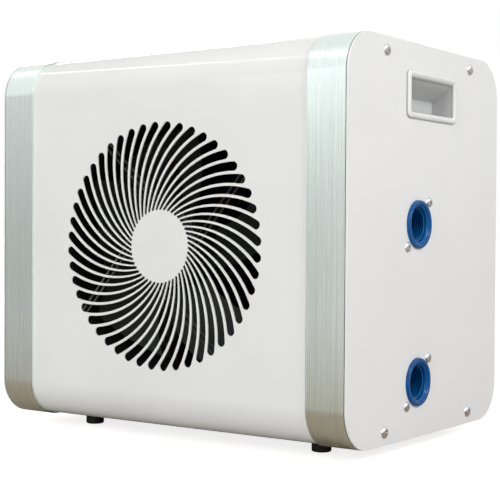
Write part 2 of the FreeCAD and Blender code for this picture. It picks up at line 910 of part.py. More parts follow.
def build_end_ring(side, sign):
    """Aluminium band with an inward flange and a weld nut at each corner screw."""
    name = f"end_ring_{side}"
    low, high = towards_side(sign, ring_inner, plate_back)
    hollow = towards_side(sign, ring_inner - THROUGH, plate_back - d.ring_wall)
    mouth = towards_side(sign, ring_inner - THROUGH, plate_back + THROUGH)
    band = without(
        f"{name}_band",
        outline_pad(f"{name}_outside", 0, low, high),
        outline_pad(f"{name}_hollow", d.ring_wall, *hollow),
        outline_pad(f"{name}_mouth", d.ring_flange, *mouth),
    )
    nut_face = sign * (plate_back - d.ring_wall)
    inward = "-X" if sign > 0 else "X"
    nuts = [
        rod(f"{name}_nut_{n}", inward, (nut_face, y, z), d.boss, d.boss_depth)
        for n, (y, z) in enumerate(corner_spots)
    ]
    holes = [
        rod(
            f"{name}_hole_{n}",
            inward,
            (sign * (plate_back + THROUGH), y, z),
            d.plate_screw + d.thread_fit,
            d.ring_wall + d.boss_depth + 2 * THROUGH,
        )
        for n, (y, z) in enumerate(corner_spots)
    ]
    return without(name, joined(f"{name}_with_nuts", band, *nuts), *holes)


handle_level = top_z - d.handle_drop
cup_width = d.mouth_width + 2 * d.cup_wall
cup_height = d.mouth_height + 2 * d.cup_wall


def build_end_plate(side, sign):
    """Flat painted plate with holes for its screws, its handle and, on the right, the ports."""
    name = f"end_plate_{side}"
    low, high = towards_side(sign, plate_back, half_length)
    plate = outline_pad(f"{name}_blank", 0, low, high)
    start = low - THROUGH
    depth = d.plate_gauge + 2 * THROUGH
    holes = [
        rod(f"{name}_hole_{n}", "X", (start, y, z), d.plate_screw + d.screw_fit, depth)
        for n, (y, z) in enumerate(corner_spots)
    ]
    half_y = cup_width / 2 + d.cup_fit
    half_z = cup_height / 2 + d.cup_fit
    handle = block(
        f"{name}_handle_hole",
        (start, d.handle_y - half_y, handle_level - half_z),
        (start + depth, d.handle_y + half_y, handle_level + half_z),
    )
    ports = []
    if sign > 0:
        for port, level in port_levels.items():
            collar = (start, d.port_y, level)
            ports.append(rod(f"{name}_{port}_hole", "X", collar, d.port_collar + d.port_fit, depth))
        hole = d.port_screw + d.screw_fit
        for port, spots in port_screw_spots.items():
            ports += [
                rod(f"{name}_{port}_screw_{n}", "X", (start, y, z), hole, depth)
                for n, (y, z) in enumerate(spots)
            ]
    return without(name, plate, handle, *holes, *ports)


def build_handle_cup(side, sign):
    """Moulded grip: a bezel on the plate and a cup under a sloping roof behind it."""
    name = f"handle_cup_{side}"
    middle = (0, d.handle_y, handle_level)
    low, high = towards_side(sign, half_length, half_length + d.handle_rise)
    half_y, half_z = d.handle_width / 2, d.handle_height / 2
    bezel = rounded_pad(
        f"{name}_bezel",
        (-half_y, -half_z),
        (half_y, half_z),
        d.handle_corner,
        low,
        high - low,
        centre=(d.handle_y, handle_level),
    )

    def wedge(part, face, wall):
        back = half_length - d.cup_depth - wall
        nose = d.cup_nose / 2 + wall
        mouth = d.mouth_height / 2 + wall
        points = [
            (sign * back, -d.cup_drop - nose),
            (sign * face, -mouth),
            (sign * face, mouth),
            (sign * back, -d.cup_drop + nose),
        ]
        if sign < 0:
            points.reverse()
        return extruded(f"{name}_{part}", points, middle, d.mouth_width + 2 * wall)

    shell = wedge("shell", half_length, d.cup_wall)
    hollow = wedge("hollow", half_length + d.handle_rise + THROUGH, 0)
    return without(name, joined(f"{name}_solid", bezel, shell), hollow)


def build_port(port, level):
    """Threaded water socket: collar through the plate, lobed flange behind it, and barrel."""
    name = f"port_{port}"
    flange_face = -d.plate_gauge
    flange_back = flange_face - d.port_flange_gauge
    web = -d.port_depth + d.port_web
    profile = [
        (d.port_passage, -d.port_depth),
        (d.port_barrel, -d.port_depth),
        (d.port_barrel, flange_back),
        (d.port_flange, flange_back),
        (d.port_flange, flange_face),
        (d.port_collar, flange_face),
        (d.port_collar, d.port_rise),
        (d.port_mouth, d.port_rise),
        (d.port_thread, 0),
        (d.port_thread, web),
        (d.port_passage, web),
    ]
    socket = turned(f"{name}_socket", profile, (half_length, d.port_y, level), "X")
    half = d.port_screw_circle + d.port_lobe
    lobes = rounded_pad(
        f"{name}_lobes",
        (-half, -d.port_lobe),
        (half, d.port_lobe),
        d.port_lobe * NEARLY_ROUND,
        half_length + flange_back,
        d.port_flange_gauge,
        turn=Rotation(Vector(1, 0, 0), 45),
        centre=(d.port_y, level),
    )
    bore = rod(
        f"{name}_bore",
        "X",
        (half_length + flange_back - THROUGH, d.port_y, level),
        d.port_barrel,
        d.port_flange_gauge + 2 * THROUGH,
    )
    ears = without(f"{name}_ears", lobes, bore)
    holes = [
        rod(
            f"{name}_screw_hole_{n}",
            "-X",
            (half_length, y, z),
            d.port_screw + d.thread_fit,
            d.port_screw_length + THROUGH,
        )
        for n, (y, z) in enumerate(port_screw_spots[port])
    ]
    return without(name, joined(f"{name}_body", socket, ears), *holes)


def build_foot(corner, x, y):
    """Rubber foot with a wider band at its top and a blind hole for its screw."""
    hole = d.foot_screw + d.thread_fit
    floor = cover_low - d.foot_thread - THROUGH
    profile = [
        (0, 0),
        (d.foot_radius, 0),
        (d.foot_radius, cover_low - d.foot_band),
        (d.foot_top_radius, cover_low - d.foot_band),
        (d.foot_top_radius, cover_low),
        (hole, cover_low),
        (hole, floor),
        (0, floor),
    ]
    return turned(f"foot_{corner}", profile, (x, y, 0))


bend_reach = coil_back + d.sheet_overhang - (skin_y - bend_in)
shelf_low = skin_low + bend_in - root(bend_in * bend_in - bend_reach * bend_reach) + d.coil_clear
coil_low = shelf_low + d.pan_gauge
coil_high = skin_high - (coil_low - skin_low)


def build_pan():
    """Base pan with side lips and a raised shelf under the air coil."""
    half_x = plate_back - d.ring_wall - d.boss_depth - d.pan_inset
    half_y = half_depth - d.corner_radius - THROUGH
    floor = block("pan_floor", (-half_x, -half_y, skin_low), (half_x, half_y, pan_top))
    lips = [
        block(
            f"pan_lip_{side}",
            (towards_side(sign, half_x - d.pan_gauge, half_x)[0], -half_y, skin_low),
            (towards_side(sign, half_x - d.pan_gauge, half_x)[1], half_y, skin_low + d.pan_lip),
        )
        for side, sign in SIDES.items()
    ]
    front = coil_front - d.sheet_overhang
    end = partition_x
    riser = block("pan_riser", (-half_x, front, skin_low), (end, front + d.pan_gauge, coil_low))
    shelf_back = coil_back + d.sheet_overhang
    shelf = block("pan_shelf", (-half_x, front, shelf_low), (end, shelf_back, coil_low))
    depth = d.pan_gauge + 2 * THROUGH
    holes = [
        rod(
            f"pan_foot_hole_{name}",
            "Z",
            (x, y, skin_low - THROUGH),
            d.foot_screw + d.screw_fit,
            depth,
        )
        for name, (x, y) in foot_spots.items()
    ]
    drain_at = (d.drain_x, d.drain_y, skin_low - THROUGH)
    holes.append(rod("pan_drain_hole", "Z", drain_at, d.drain_neck + d.drain_fit, depth))
    return without("base_pan", joined("pan_sheet", floor, *lips, riser, shelf), *holes)


panel_low = bend_low + d.rear_lip + d.panel_gap
panel_high = bend_high - d.rear_lip - d.panel_gap
lap_back = skin_y - d.cover_gauge
window_left = coil_left + d.window_inset
window_right = coil_right - d.window_inset
window_low = panel_low + d.window_margin
window_high = panel_high - d.window_margin


def build_rear_panel():
    """Sheet that closes the back: joggled top and bottom edges, coil window and gland hole."""
    face = block("panel_face", (-cover_end, skin_y, panel_low), (cover_end, cover_y, panel_high))
    reach = d.rear_lip + d.panel_gap
    laps = [
        block("panel_lap_low", (-cover_end, lap_back, panel_low - reach),
              (cover_end, skin_y, panel_low + d.lap)),
        block("panel_lap_high", (-cover_end, lap_back, panel_high - d.lap),
              (cover_end, skin_y, panel_high + reach)),
    ]
    window = block(
        "panel_window",
        (window_left, lap_back - THROUGH, window_low),
        (window_right, cover_y + THROUGH, window_high),
    )
    gland = rod(
        "panel_gland_hole",
        "Y",
        (gland_at[0], skin_y - THROUGH, gland_at[1]),
        d.gland_shank + d.gland_fit,
        d.cover_gauge + 2 * THROUGH,
    )
    holes = [
        rod(
            f"panel_hole_{n}",
            "Y",
            (x, lap_back - THROUGH, z),
            d.small_screw + d.thread_fit,
            d.cover_gauge + 2 * THROUGH,
        )
        for n, (x, z) in enumerate(rear_screw_spots)
    ]
    return without("rear_panel", joined("panel_sheet", face, *laps), window, gland, *holes)


def build_rear_guard():
    """Welded wire guard that stands behind the window, against the panel's inner face."""
    wire, bar = float(d.guard_wire), float(d.guard_bar)
    reach = float(d.guard_reach)
    left, right = float(window_left) - reach, float(window_right) + reach
    low, high = float(window_low) - reach, float(window_high) + reach
    wire_y = float(skin_y) - wire
    bar_y = wire_y - wire - bar + float(d.weld)
    gaps = round((right - left) / float(d.guard_pitch))
    spacing = (right - left) / gaps
    wires = [
        Part.makeCylinder(wire, high - low, Vector(left + n * spacing, wire_y, low), Vector(0, 0, 1))
        for n in range(gaps + 1)
    ]
    overhang = 2 * bar
    levels = [low + bar + (high - low - 2 * bar) * n / 2 for n in range(3)]
    bars = [
        Part.makeCylinder(
            bar,
            right - left + 2 * overhang,
            Vector(left - overhang, bar_y, level),
            Vector(1, 0, 0),
        )
        for level in levels
    ]
    return shaped("rear_guard", bars[0].fuse(bars[1:] + wires))


def build_drain():
    """Hose tail for condensate, with its flange on the pan."""
    low = cover_low - d.drain_reach
    stop = cover_low - d.drain_stop
    profile = [
        (d.drain_bore, low),
        (d.drain_radius, low),
        (d.drain_radius, stop),
        (d.drain_neck, stop),
        (d.drain_neck, pan_top),
        (d.drain_flange, pan_top),
        (d.drain_flange, pan_top + d.drain_flange_gauge),
        (d.drain_bore, pan_top + d.drain_flange_gauge),
    ]
    return turned("drain_nipple", profile, (d.drain_x, d.drain_y, 0))


def build_gland():
    """Strain relief bush for the mains lead, with its nut behind the rear panel."""
    profile = [
        (d.gland_bore, -d.cover_gauge - d.gland_depth),
        (d.gland_shank, -d.cover_gauge - d.gland_depth),
        (d.gland_shank, -d.cover_gauge - d.gland_nut_gauge),
        (d.gland_nut, -d.cover_gauge - d.gland_nut_gauge),
        (d.gland_nut, -d.cover_gauge),
        (d.gland_shank, -d.cover_gauge),
        (d.gland_shank, 0),
        (d.gland_head, 0),
        (d.gland_head, d.gland_rise / 2),
        (d.gland_nose, d.gland_rise),
        (d.gland_bore, d.gland_rise),
    ]
    return turned("cable_gland", profile, (gland_at[0], cover_y, gland_at[1]), "Y")


build_cover()
build_pan()
build_rear_panel()
build_rear_guard()
build_gland()
build_drain()
for side, sign in SIDES.items():
    build_end_ring(side, sign)
    build_end_plate(side, sign)
    build_handle_cup(side, sign)
for port, level in port_levels.items():
    build_port(port, level)
for corner, (x, y) in foot_spots.items():
    build_foot(corner, x, y)

# ---------------------------------------------------------------------------------------------
# Fan: heights along its axis count backwards from the inner face of the cover's front
# ---------------------------------------------------------------------------------------------
fan_origin = (fan_x, -skin_y, grille_z)


def build_fan_ring():
    """Shroud around the blades, with four lugs on the cover's studs."""
    end = ring_start + d.fan_ring_length
    outside = d.fan_bore + d.fan_ring_wall
    flange_back = ring_start + d.fan_flange_gauge
    profile = [
        (d.fan_bore, ring_start),
        (d.fan_flange, ring_start),
        (d.fan_flange, flange_back),
        (outside, flange_back),
        (outside, end),
        (d.fan_bore, end),
    ]
    ring = turned("fan_ring_shell", profile, fan_origin, "Y")
    start = -skin_y + ring_start
    lugs = [
        rod(f"fan_ring_lug_{n}", "Y", (x, start, z), d.fan_lug, d.fan_flange_gauge)
        for n, (x, z) in enumerate(stud_spots)
    ]
    holes = [
        rod(
            f"fan_ring_hole_{n}",
            "Y",
            (x, start - THROUGH, z),
            d.fan_stud + d.screw_fit,
            d.fan_flange_gauge + 2 * THROUGH,
        )
        for n, (x, z) in enumerate(stud_spots)
    ]
    bore = rod(
        "fan_ring_bore",
        "Y",
        (fan_x, start - THROUGH, grille_z),
        d.fan_bore,
        d.fan_ring_length + 2 * THROUGH,
    )
    return without("fan_ring", joined("fan_ring_with_lugs", ring, *lugs), bore, *holes)


plate_level = arm_level + d.arm_wire - d.weld     # motor's mounting plate, behind the front
motor_face = plate_level + d.mount_plate_gauge
motor_screw_spots = [
    (
        fan_x + d.motor_screw_circle * math.cos(math.radians(angle)),
        -skin_y + plate_level,
        grille_z + d.motor_screw_circle * math.sin(math.radians(angle)),
    )
    for angle in (45, 135, 225, 315)
]


def build_motor_support():
    """Black wire carrier: four double-wire arms that run past the motor, welded to its plate."""
    wire = float(d.arm_wire)
    level = -float(skin_y) + float(arm_level)
    centre = Vector(float(fan_x), level, float(grille_z))
    length = float(d.arm_start + stud_reach)
    pieces = []
    for quarter in range(4):
        angle = math.radians(float(d.arm_angle) + 90 * quarter)
        outward = Vector(math.cos(angle), 0, math.sin(angle))
        along = Vector(-math.sin(angle), 0, math.cos(angle))
        for side in (-1, 1):
            offset = float(d.arm_offset) + side * float(d.arm_spread) / 2
            start = centre + outward * offset - along * float(d.arm_start)
            pieces.append(Part.makeCylinder(wire, length, start, along))
    eye_start = float(arm_level - d.arm_wire)
    eye_gauge = 2 * wire
    holes = []
    for x, z in stud_spots:
        spot = Vector(float(x), -float(skin_y) + eye_start, float(z))
        pieces.append(Part.makeCylinder(float(d.fan_lug), eye_gauge, spot, Vector(0, 1, 0)))
        below = spot - Vector(0, THROUGH, 0)
        hole = float(d.fan_stud + d.screw_fit)
        holes.append(Part.makeCylinder(hole, eye_gauge + 2 * THROUGH, below, Vector(0, 1, 0)))
    spot = Vector(centre.x, -float(skin_y) + float(plate_level), centre.z)
    gauge = float(d.mount_plate_gauge)
    pieces.append(Part.makeCylinder(float(d.mount_plate), gauge, spot, Vector(0, 1, 0)))
    wires_depth = 2 * wire + THROUGH
    below = spot - Vector(0, wires_depth, 0)
    bore_length = wires_depth + gauge + THROUGH
    holes.append(Part.makeCylinder(float(d.mount_plate_bore), bore_length, below, Vector(0, 1, 0)))
    for x, y, z in motor_screw_spots:
        spot = Vector(float(x), float(y) - THROUGH, float(z))
        hole = float(d.small_screw + d.screw_fit)
        holes.append(Part.makeCylinder(hole, gauge + 2 * THROUGH, spot, Vector(0, 1, 0)))
    # the screw heads need room between the wires
    for x, y, z in motor_screw_spots:
        head = float(d.small_screw_head + d.screw_fit)
        spot = Vector(float(x), float(y) - wires_depth, float(z))
        holes.append(Part.makeCylinder(head, wires_depth, spot, Vector(0, 1, 0)))
    whole = pieces[0].fuse(pieces[1:])
    return shaped("motor_support", whole.cut(holes))


tube_end = motor_face + d.stator_flange_gauge + d.stator_tube_length
tube_start = motor_face + d.stator_flange_gauge


def build_stator():
    """Fixed half of the motor: flange, bearing tube and wound core."""
    seat = d.bearing_radius + d.bearing_seat_fit
    core_start = tube_start + d.stator_core_start
    core_end = core_start + d.stator_core_length
    front_seat = motor_face + d.bearing_width
    rear_seat = tube_end - d.bearing_width
    profile = [
        (seat, motor_face),
        (d.mount_plate, motor_face),
        (d.mount_plate, tube_start),
        (d.stator_tube, tube_start),
        (d.stator_tube, core_start),
        (d.stator_core, core_start),
        (d.stator_core, core_end),
        (d.stator_tube, core_end),
        (d.stator_tube, tube_end),
        (seat, tube_end),
        (seat, rear_seat),
        (d.bearing_shoulder, rear_seat),
        (d.bearing_shoulder, front_seat),
        (seat, front_seat),
    ]
    whole = turned("stator_body", profile, fan_origin, "Y")
    holes = [
        rod(
            f"stator_hole_{n}",
            "Y",
            (x, -skin_y + motor_face - THROUGH, z),
            d.small_screw + d.thread_fit,
            d.stator_flange_gauge + 2 * THROUGH,
        )
        for n, (x, _, z) in enumerate(motor_screw_spots)
    ]
    return without("fan_motor_stator", whole, *holes)


cup_radius = d.stator_core + d.magnet_gap + d.rotor_wall
cup_start = tube_start + d.rotor_start
cup_floor = tube_end + d.rotor_clear
cup_end = cup_floor + d.rotor_end


def build_rotor():
    """Turning half of the motor: magnet cup with the shaft on its end wall."""
    profile = [
        (0, motor_face),
        (d.fan_shaft, motor_face),
        (d.fan_shaft, cup_floor),
        (cup_radius - d.rotor_wall, cup_floor),
        (cup_radius - d.rotor_wall, cup_start),
        (cup_radius, cup_start),
        (cup_radius, cup_end),
        (0, cup_end),
    ]
    return turned("fan_motor_rotor", profile, fan_origin, "Y")


def build_bearings():
    """Two plain rolling bearings, drawn as rings, one in each end of the tube."""
    bore = d.fan_shaft + d.shaft_fit
    profile = [
        (bore, 0),
        (d.bearing_radius, 0),
        (d.bearing_radius, d.bearing_width),
        (bore, d.bearing_width),
    ]
    ring = turned("bearing_ring", profile)
    doc.recompute()
    starts = (motor_face, tube_end - d.bearing_width)
    spots = [(fan_x, -skin_y + start, grille_z) for start in starts]
    return shaped("fan_bearings", copies(ring, spots, "Y"))


BLADE_STATIONS = 5                # sections that a blade is lofted through
SWEEP_POWER = 1.5                 # above 1, most of a blade's sweep is near its tip


def blade(hub, tip):
    """One swept, twisted blade about the Y axis, from inside the hub to past the tip."""
    wires = []
    inner, outer = hub - float(d.blade_sink), tip + float(d.blade_trim)
    for n in range(BLADE_STATIONS):
        share = n / (BLADE_STATIONS - 1)
        radius = inner + (outer - inner) * share
        chord = float(d.blade_root_chord) * (1 - share) + float(d.blade_tip_chord) * share
        pitch = math.radians(
            float(d.blade_root_pitch) * (1 - share) + float(d.blade_tip_pitch) * share
        )
        lean = math.radians(float(d.blade_sweep)) * share ** SWEEP_POWER
        half = float(d.blade_root_gauge * (1 - share) + d.blade_tip_gauge * share) / 2
        camber = float(d.blade_camber) * chord
        outward = Vector(math.cos(lean), 0, math.sin(lean))
        around = Vector(-math.sin(lean), 0, math.cos(lean))
        along = around * math.cos(pitch) + Vector(0, 1, 0) * math.sin(pitch)
        normal = Vector(0, 1, 0) * math.cos(pitch) - around * math.sin(pitch)
        middle = outward * radius
        ends = [middle + along * (side * chord / 2) for side in (-1, 1)]
        top = [ends[0] + normal * half, middle + normal * (camber + half), ends[1] + normal * half]
        low = [ends[1] - normal * half, middle + normal * (camber - half), ends[0] - normal * half]
        wires.append(
            Part.Wire(
                [
                    Part.Arc(*top).toShape(),
                    Part.LineSegment(top[2], low[0]).toShape(),
                    Part.Arc(*low).toShape(),
                    Part.LineSegment(low[2], top[0]).toShape(),
                ]
            )
        )
    return Part.makeLoft(wires, True, False)


def build_impeller():
    """Axial fan wheel: hub ring over the rotor cup, closed by a web, and swept blades."""
    bore = float(cup_radius + d.hub_fit)
    hub = bore + float(d.hub_wall)
    tip = float(d.fan_bore - d.tip_clear)
    hub_start, hub_end = float(cup_start), float(cup_end)
    origin = Vector(*(float(c) for c in fan_origin))
    axis = Vector(0, 1, 0)
    web = float(d.hub_web)
    ring = Part.makeCylinder(hub, hub_end - hub_start + web, Vector(0, hub_start, 0), axis)
    middle = (hub_start + hub_end) / 2
    count = round(float(d.blade_count))
    one = blade(hub, tip)
    one = one.common(Part.makeCylinder(tip, 2 * tip, Vector(0, -tip, 0), axis))
    blades = []
    for n in range(count):
        copy = one.copy()
        copy.rotate(Vector(), axis, 360 * n / count)
        copy.translate(Vector(0, middle, 0))
        blades.append(copy)
    wheel = ring.fuse(blades)
    hollow = Part.makeCylinder(bore, tip, Vector(0, hub_end - tip, 0), axis)
    eye_start = Vector(0, hub_end - THROUGH, 0)
    eye = Part.makeCylinder(float(d.hub_eye), web + 2 * THROUGH, eye_start, axis)
    wheel = wheel.cut([hollow, eye]).removeSplitter()
    wheel.translate(origin)
    return shaped("fan_impeller", wheel)


def build_nuts():
    """Hexagon nuts that hold the fan ring and the motor support on the cover's studs."""
    level = float(-skin_y + ring_start + d.fan_flange_gauge)
    nuts = []
    for x, z in stud_spots:
        centre = Vector(float(x), level, float(z))
        corners = [
            centre + Vector(math.cos(angle), 0, math.sin(angle)) * float(d.nut_radius)
            for angle in (math.radians(60 * n) for n in range(7))
        ]
        nut = Part.Face(Part.makePolygon(corners)).extrude(Vector(0, float(d.nut_height), 0))
        thread = float(d.fan_stud + d.thread_fit)
        bore = Part.makeCylinder(thread, float(d.nut_height), centre, Vector(0, 1, 0))
        nuts.append(nut.cut(bore))
    return shaped("fan_nuts", Part.makeCompound(nuts))


build_fan_ring()
build_motor_support()
build_stator()
build_rotor()
build_bearings()
build_impeller()
build_nuts()

# ---------------------------------------------------------------------------------------------
# Air coil and partition
# ---------------------------------------------------------------------------------------------
tube_pitch = (coil_high - coil_low) / d.tube_passes
row_y = [coil_front + d.coil_depth * share for share in (0.25, 0.75)]
tube_levels = [coil_low + tube_pitch * (n + 0.5) for n in range(round(float(d.tube_passes)))]


def build_fins():
    """Aluminium fins, and the two tube sheets that carry the coil, all separate plates."""
    hole = float(d.tube_radius + d.tube_fit)
    low, high = float(coil_low), float(coil_high)

    def plate(gauge, front, back):
        sheet_shape = Part.makeBox(gauge, back - front, high - low, Vector(0, front, low))
        axis = Vector(1, 0, 0)
        cutters = [
            Part.makeCylinder(hole, gauge + 2, Vector(-1, float(y), float(z)), axis)
            for y in row_y
            for z in tube_levels
        ]
        return sheet_shape.cut(cutters)

    overhang = float(d.sheet_overhang)
    front, back = float(coil_front), float(coil_back)
    end_sheet = plate(float(d.sheet_gauge), front - overhang, back + overhang)
    fin = plate(float(d.fin_gauge), front, back)
    left, right = float(coil_left), float(coil_right)
    gaps = round((right - left) / float(d.fin_pitch))
    shapes = []
    for spot in (left - float(d.sheet_gauge), right):
        copy = end_sheet.copy()
        copy.translate(Vector(spot, 0, 0))
        shapes.append(copy)
    for n in range(1, gaps):
        copy = fin.copy()
        copy.translate(Vector(left + (right - left) * n / gaps, 0, 0))
        shapes.append(copy)
    return shaped("evaporator_fins", Part.makeCompound(shapes))


liquid_x = partition_x + d.partition_gauge + d.liquid_run
tube_mouth = partition_x + d.tube_stub


def build_tubes():
    """One copper tube: up the front row of the coil, over to the rear row and down again."""
    pitch = float(tube_pitch)
    left = float(coil_left - d.sheet_gauge - d.tube_stub)
    right = float(tube_mouth)
    edges = []
    here = Vector(right, float(row_y[0]), float(tube_levels[0]))

    def run(to_x):
        nonlocal here
        there = Vector(to_x, here.y, here.z)
        edges.append(Part.LineSegment(here, there).toShape())
        here = there

    def hairpin(step, side):
        nonlocal here
        there = here + step
        middle = here + step * 0.5 + Vector(side * step.Length / 2, 0, 0)
        edges.append(Part.Arc(here, middle, there).toShape())
        here = there

    passes = len(tube_levels)
    for row in range(2):
        rise = Vector(0, 0, pitch if row == 0 else -pitch)
        for n in range(passes):
            leftwards = n % 2 == 0
            run(left if leftwards else right)
            if n < passes - 1:
                hairpin(rise, -1 if leftwards else 1)
        if row == 0:
            hairpin(Vector(0, float(row_y[1] - row_y[0]), 0), 1 if passes % 2 == 0 else -1)
    tube = swept(Part.Wire(edges), float(d.tube_radius), float(d.tube_wall))
    return shaped("evaporator_tubes", tube)


def build_partition():
    """Sheet between the fan chamber and the compressor, stepped around the fan ring."""
    x0, x1 = partition_x, partition_x + d.partition_gauge
    turn = d.partition_turn
    far = partition_far
    rear = row_y[0] - d.tube_radius - d.sheet_gauge / 2
    sheets = [
        block("partition_rear", (x0, turn, pan_top), (x1, rear, skin_high)),
        block("partition_step_wall", (x0, turn - d.partition_gauge, pan_top),
              (far + d.partition_gauge, turn, skin_high)),
        block("partition_front", (far, -skin_y, pan_top), (far + d.partition_gauge, turn, skin_high)),
    ]
    wall = joined("partition_blank", *sheets)
    room = outline_pad("partition_room", skin + d.seam_gap, x0 - THROUGH, far + 2 * THROUGH)
    return common("partition_wall", wall, room)


build_fins()
build_tubes()
build_partition()

# ---------------------------------------------------------------------------------------------
# Water heat exchanger with its flow switch
# ---------------------------------------------------------------------------------------------
vessel_x = port_back - d.vessel_neck - d.vessel_radius
vessel_height = vessel_top - pan_top
vessel_room = d.vessel_radius - d.vessel_wall
switch_level = port_levels["outlet"]
helix_low = pan_top + d.helix_base
helix_pitch = (vessel_top - d.helix_head - helix_low) / d.helix_turns


def helix_path():
    """Path of the titanium coil: a straight tail through the vessel's side, the turns, and a
    tail that bends up through the lid. Gives the edges and both ends."""
    radius, pitch = float(d.helix_radius), float(helix_pitch)
    centre = Vector(float(vessel_x), float(d.port_y), float(helix_low))
    slope = math.atan2(pitch, 2 * math.pi * radius)
    quarters = round(4 * float(d.helix_turns))

    def spot(quarter):
        angle = math.radians(90 * (quarter - 1))
        outward = Vector(math.cos(angle), math.sin(angle), 0)
        ahead = Vector(-math.sin(angle), math.cos(angle), 0)
        heading = ahead * math.cos(slope) + Vector(0, 0, math.sin(slope))
        return centre + outward * radius + Vector(0, 0, pitch * quarter / 4), heading

    start, heading = spot(0)
    low_end = start - heading * float(d.vessel_radius + d.tail_reach)
    edges = [Part.LineSegment(low_end, start).toShape()]
    for quarter in range(quarters):
        edges += two_arcs(*spot(quarter), *spot(quarter + 1))
    end, leaving = spot(quarters)
    bend = float(d.helix_bend) * math.tan((math.pi / 2 - slope) / 2)
    corner = end + leaving * bend
    top = corner + Vector(0, 0, bend)
    edges.append(arc_leaving(end, leaving, top))
    high_end = Vector(top.x, top.y, float(vessel_top + d.lid_height + d.tail_rise))
    edges.append(Part.LineSegment(top, high_end).toShape())
    return edges, low_end, high_end


def build_titanium_coil():
    edges, _, _ = helix_path()
    tube = float(d.helix_tube)
    return shaped("titanium_coil", swept(Part.Wire(edges), tube, float(d.helix_wall)))


_, tail_low, tail_high = helix_path()


def build_vessel():
    """Plastic vessel with two necks that meet the water ports, and a boss for the switch."""
    at = (vessel_x, d.port_y, pan_top)
    pot = rod("vessel_pot", "Z", at, d.vessel_radius, vessel_height)
    reach = d.vessel_radius + d.vessel_neck
    necks, passages = [], []
    for port, level in port_levels.items():
        start = (vessel_x, d.port_y, level)
        necks.append(rod(f"vessel_neck_{port}", "X", start, d.neck_radius, reach))
        passages.append(
            rod(f"vessel_passage_{port}", "X", start, d.port_passage, reach + THROUGH)
        )
    room = rod(
        "vessel_room",
        "Z",
        (vessel_x, d.port_y, pan_top + d.vessel_floor),
        vessel_room,
        vessel_height - d.vessel_floor + THROUGH,
    )
    switch_at = (vessel_x, d.port_y, switch_level)
    boss = rod("vessel_boss", "-Y", switch_at, d.switch_body, reach)
    stem = rod(
        "vessel_stem_hole", "-Y", switch_at, d.switch_stem + d.switch_fit, reach + THROUGH
    )
    tail = shaped(
        "vessel_tail_hole",
        Part.makeCylinder(
            float(d.helix_tube + d.helix_fit),
            float(d.vessel_radius + d.tail_reach + THROUGH),
            Vector(float(vessel_x), float(d.port_y - d.helix_radius), float(helix_low)),
            tail_low - Vector(float(vessel_x), float(d.port_y - d.helix_radius), float(helix_low)),
        ),
    )
    hollow = without("vessel_hollow", joined("vessel_solid", pot, *necks, boss), room)
    return without("exchanger_shell", hollow, *passages, stem, tail)


def build_lid():
    """Screwed lid with a plug in the vessel's mouth and a hole for the coil's tail."""
    plug = vessel_room - d.lid_fit
    profile = [
        (0, -d.lid_plug),
        (plug, -d.lid_plug),
        (plug, 0),
        (d.lid_radius, 0),
        (d.lid_radius, d.lid_height),
        (0, d.lid_height),
    ]
    lid = turned("lid_blank", profile, (vessel_x, d.port_y, vessel_top))
    hole = Part.makeCylinder(
        float(d.helix_tube + d.helix_fit),
        float(d.lid_plug + d.lid_height + 2 * THROUGH),
        Vector(tail_high.x, tail_high.y, float(vessel_top - d.lid_plug - THROUGH)),
    )
    return without("exchanger_cap", lid, shaped("lid_tail_hole", hole))


pivot_y = d.port_y - vessel_room + d.vessel_wall + d.paddle_pin
fork_end = pivot_y + 2 * d.paddle_pin
seat_y = d.port_y - d.vessel_radius - d.vessel_neck


def build_flow_switch():
    """Switch outside the vessel, with a stem that ends in a fork for the paddle."""
    head = rod("switch_head", "-Y", (vessel_x, seat_y, switch_level), d.switch_body,
               d.switch_body_length)
    stem = rod("switch_stem_rod", "-Y", (vessel_x, fork_end, switch_level), d.switch_stem,
               fork_end - seat_y)
    half = d.fork_slot / 2
    slot_low = pivot_y - 2 * d.paddle_pin - THROUGH
    gap = block(
        "switch_fork_gap",
        (vessel_x - d.switch_stem, slot_low, switch_level - half),
        (vessel_x + d.switch_stem, fork_end + THROUGH, switch_level + half),
    )
    pin = rod(
        "switch_pin_hole",
        "Z",
        (vessel_x, pivot_y, switch_level - d.switch_stem - THROUGH),
        d.paddle_pin + d.paddle_fit,
        2 * d.switch_stem + 2 * THROUGH,
    )
    return without("flow_switch", joined("switch_body_solid", head, stem), gap, pin)


def build_paddle():
    """Paddle that the water swings, with its own pin and an eye between the fork's ears."""
    eye = d.fork_slot / 2 - d.paddle_fit
    tongue = 2 * d.paddle_pin - d.paddle_fit
    pin = rod(
        "paddle_pin_rod",
        "Z",
        (vessel_x, pivot_y, switch_level - d.switch_stem + THROUGH),
        d.paddle_pin,
        2 * d.switch_stem - 2 * THROUGH,
    )
    knuckle = rod(
        "paddle_knuckle",
        "Z",
        (vessel_x, pivot_y, switch_level - eye),
        tongue,
        2 * eye,
    )
    half = d.paddle_gauge / 2
    arm = block(
        "paddle_arm",
        (vessel_x - half, pivot_y, switch_level - eye),
        (vessel_x + half, fork_end + 2 * THROUGH, switch_level + eye),
    )
    leaf = block(
        "paddle_leaf",
        (vessel_x - half, fork_end + THROUGH, switch_level - d.paddle_height / 2),
        (vessel_x + half, pivot_y + d.paddle_length, switch_level + d.paddle_height / 2),
    )
    return joined("flow_paddle", pin, knuckle, arm, leaf)


build_vessel()
build_lid()
build_titanium_coil()
build_flow_switch()
build_paddle()

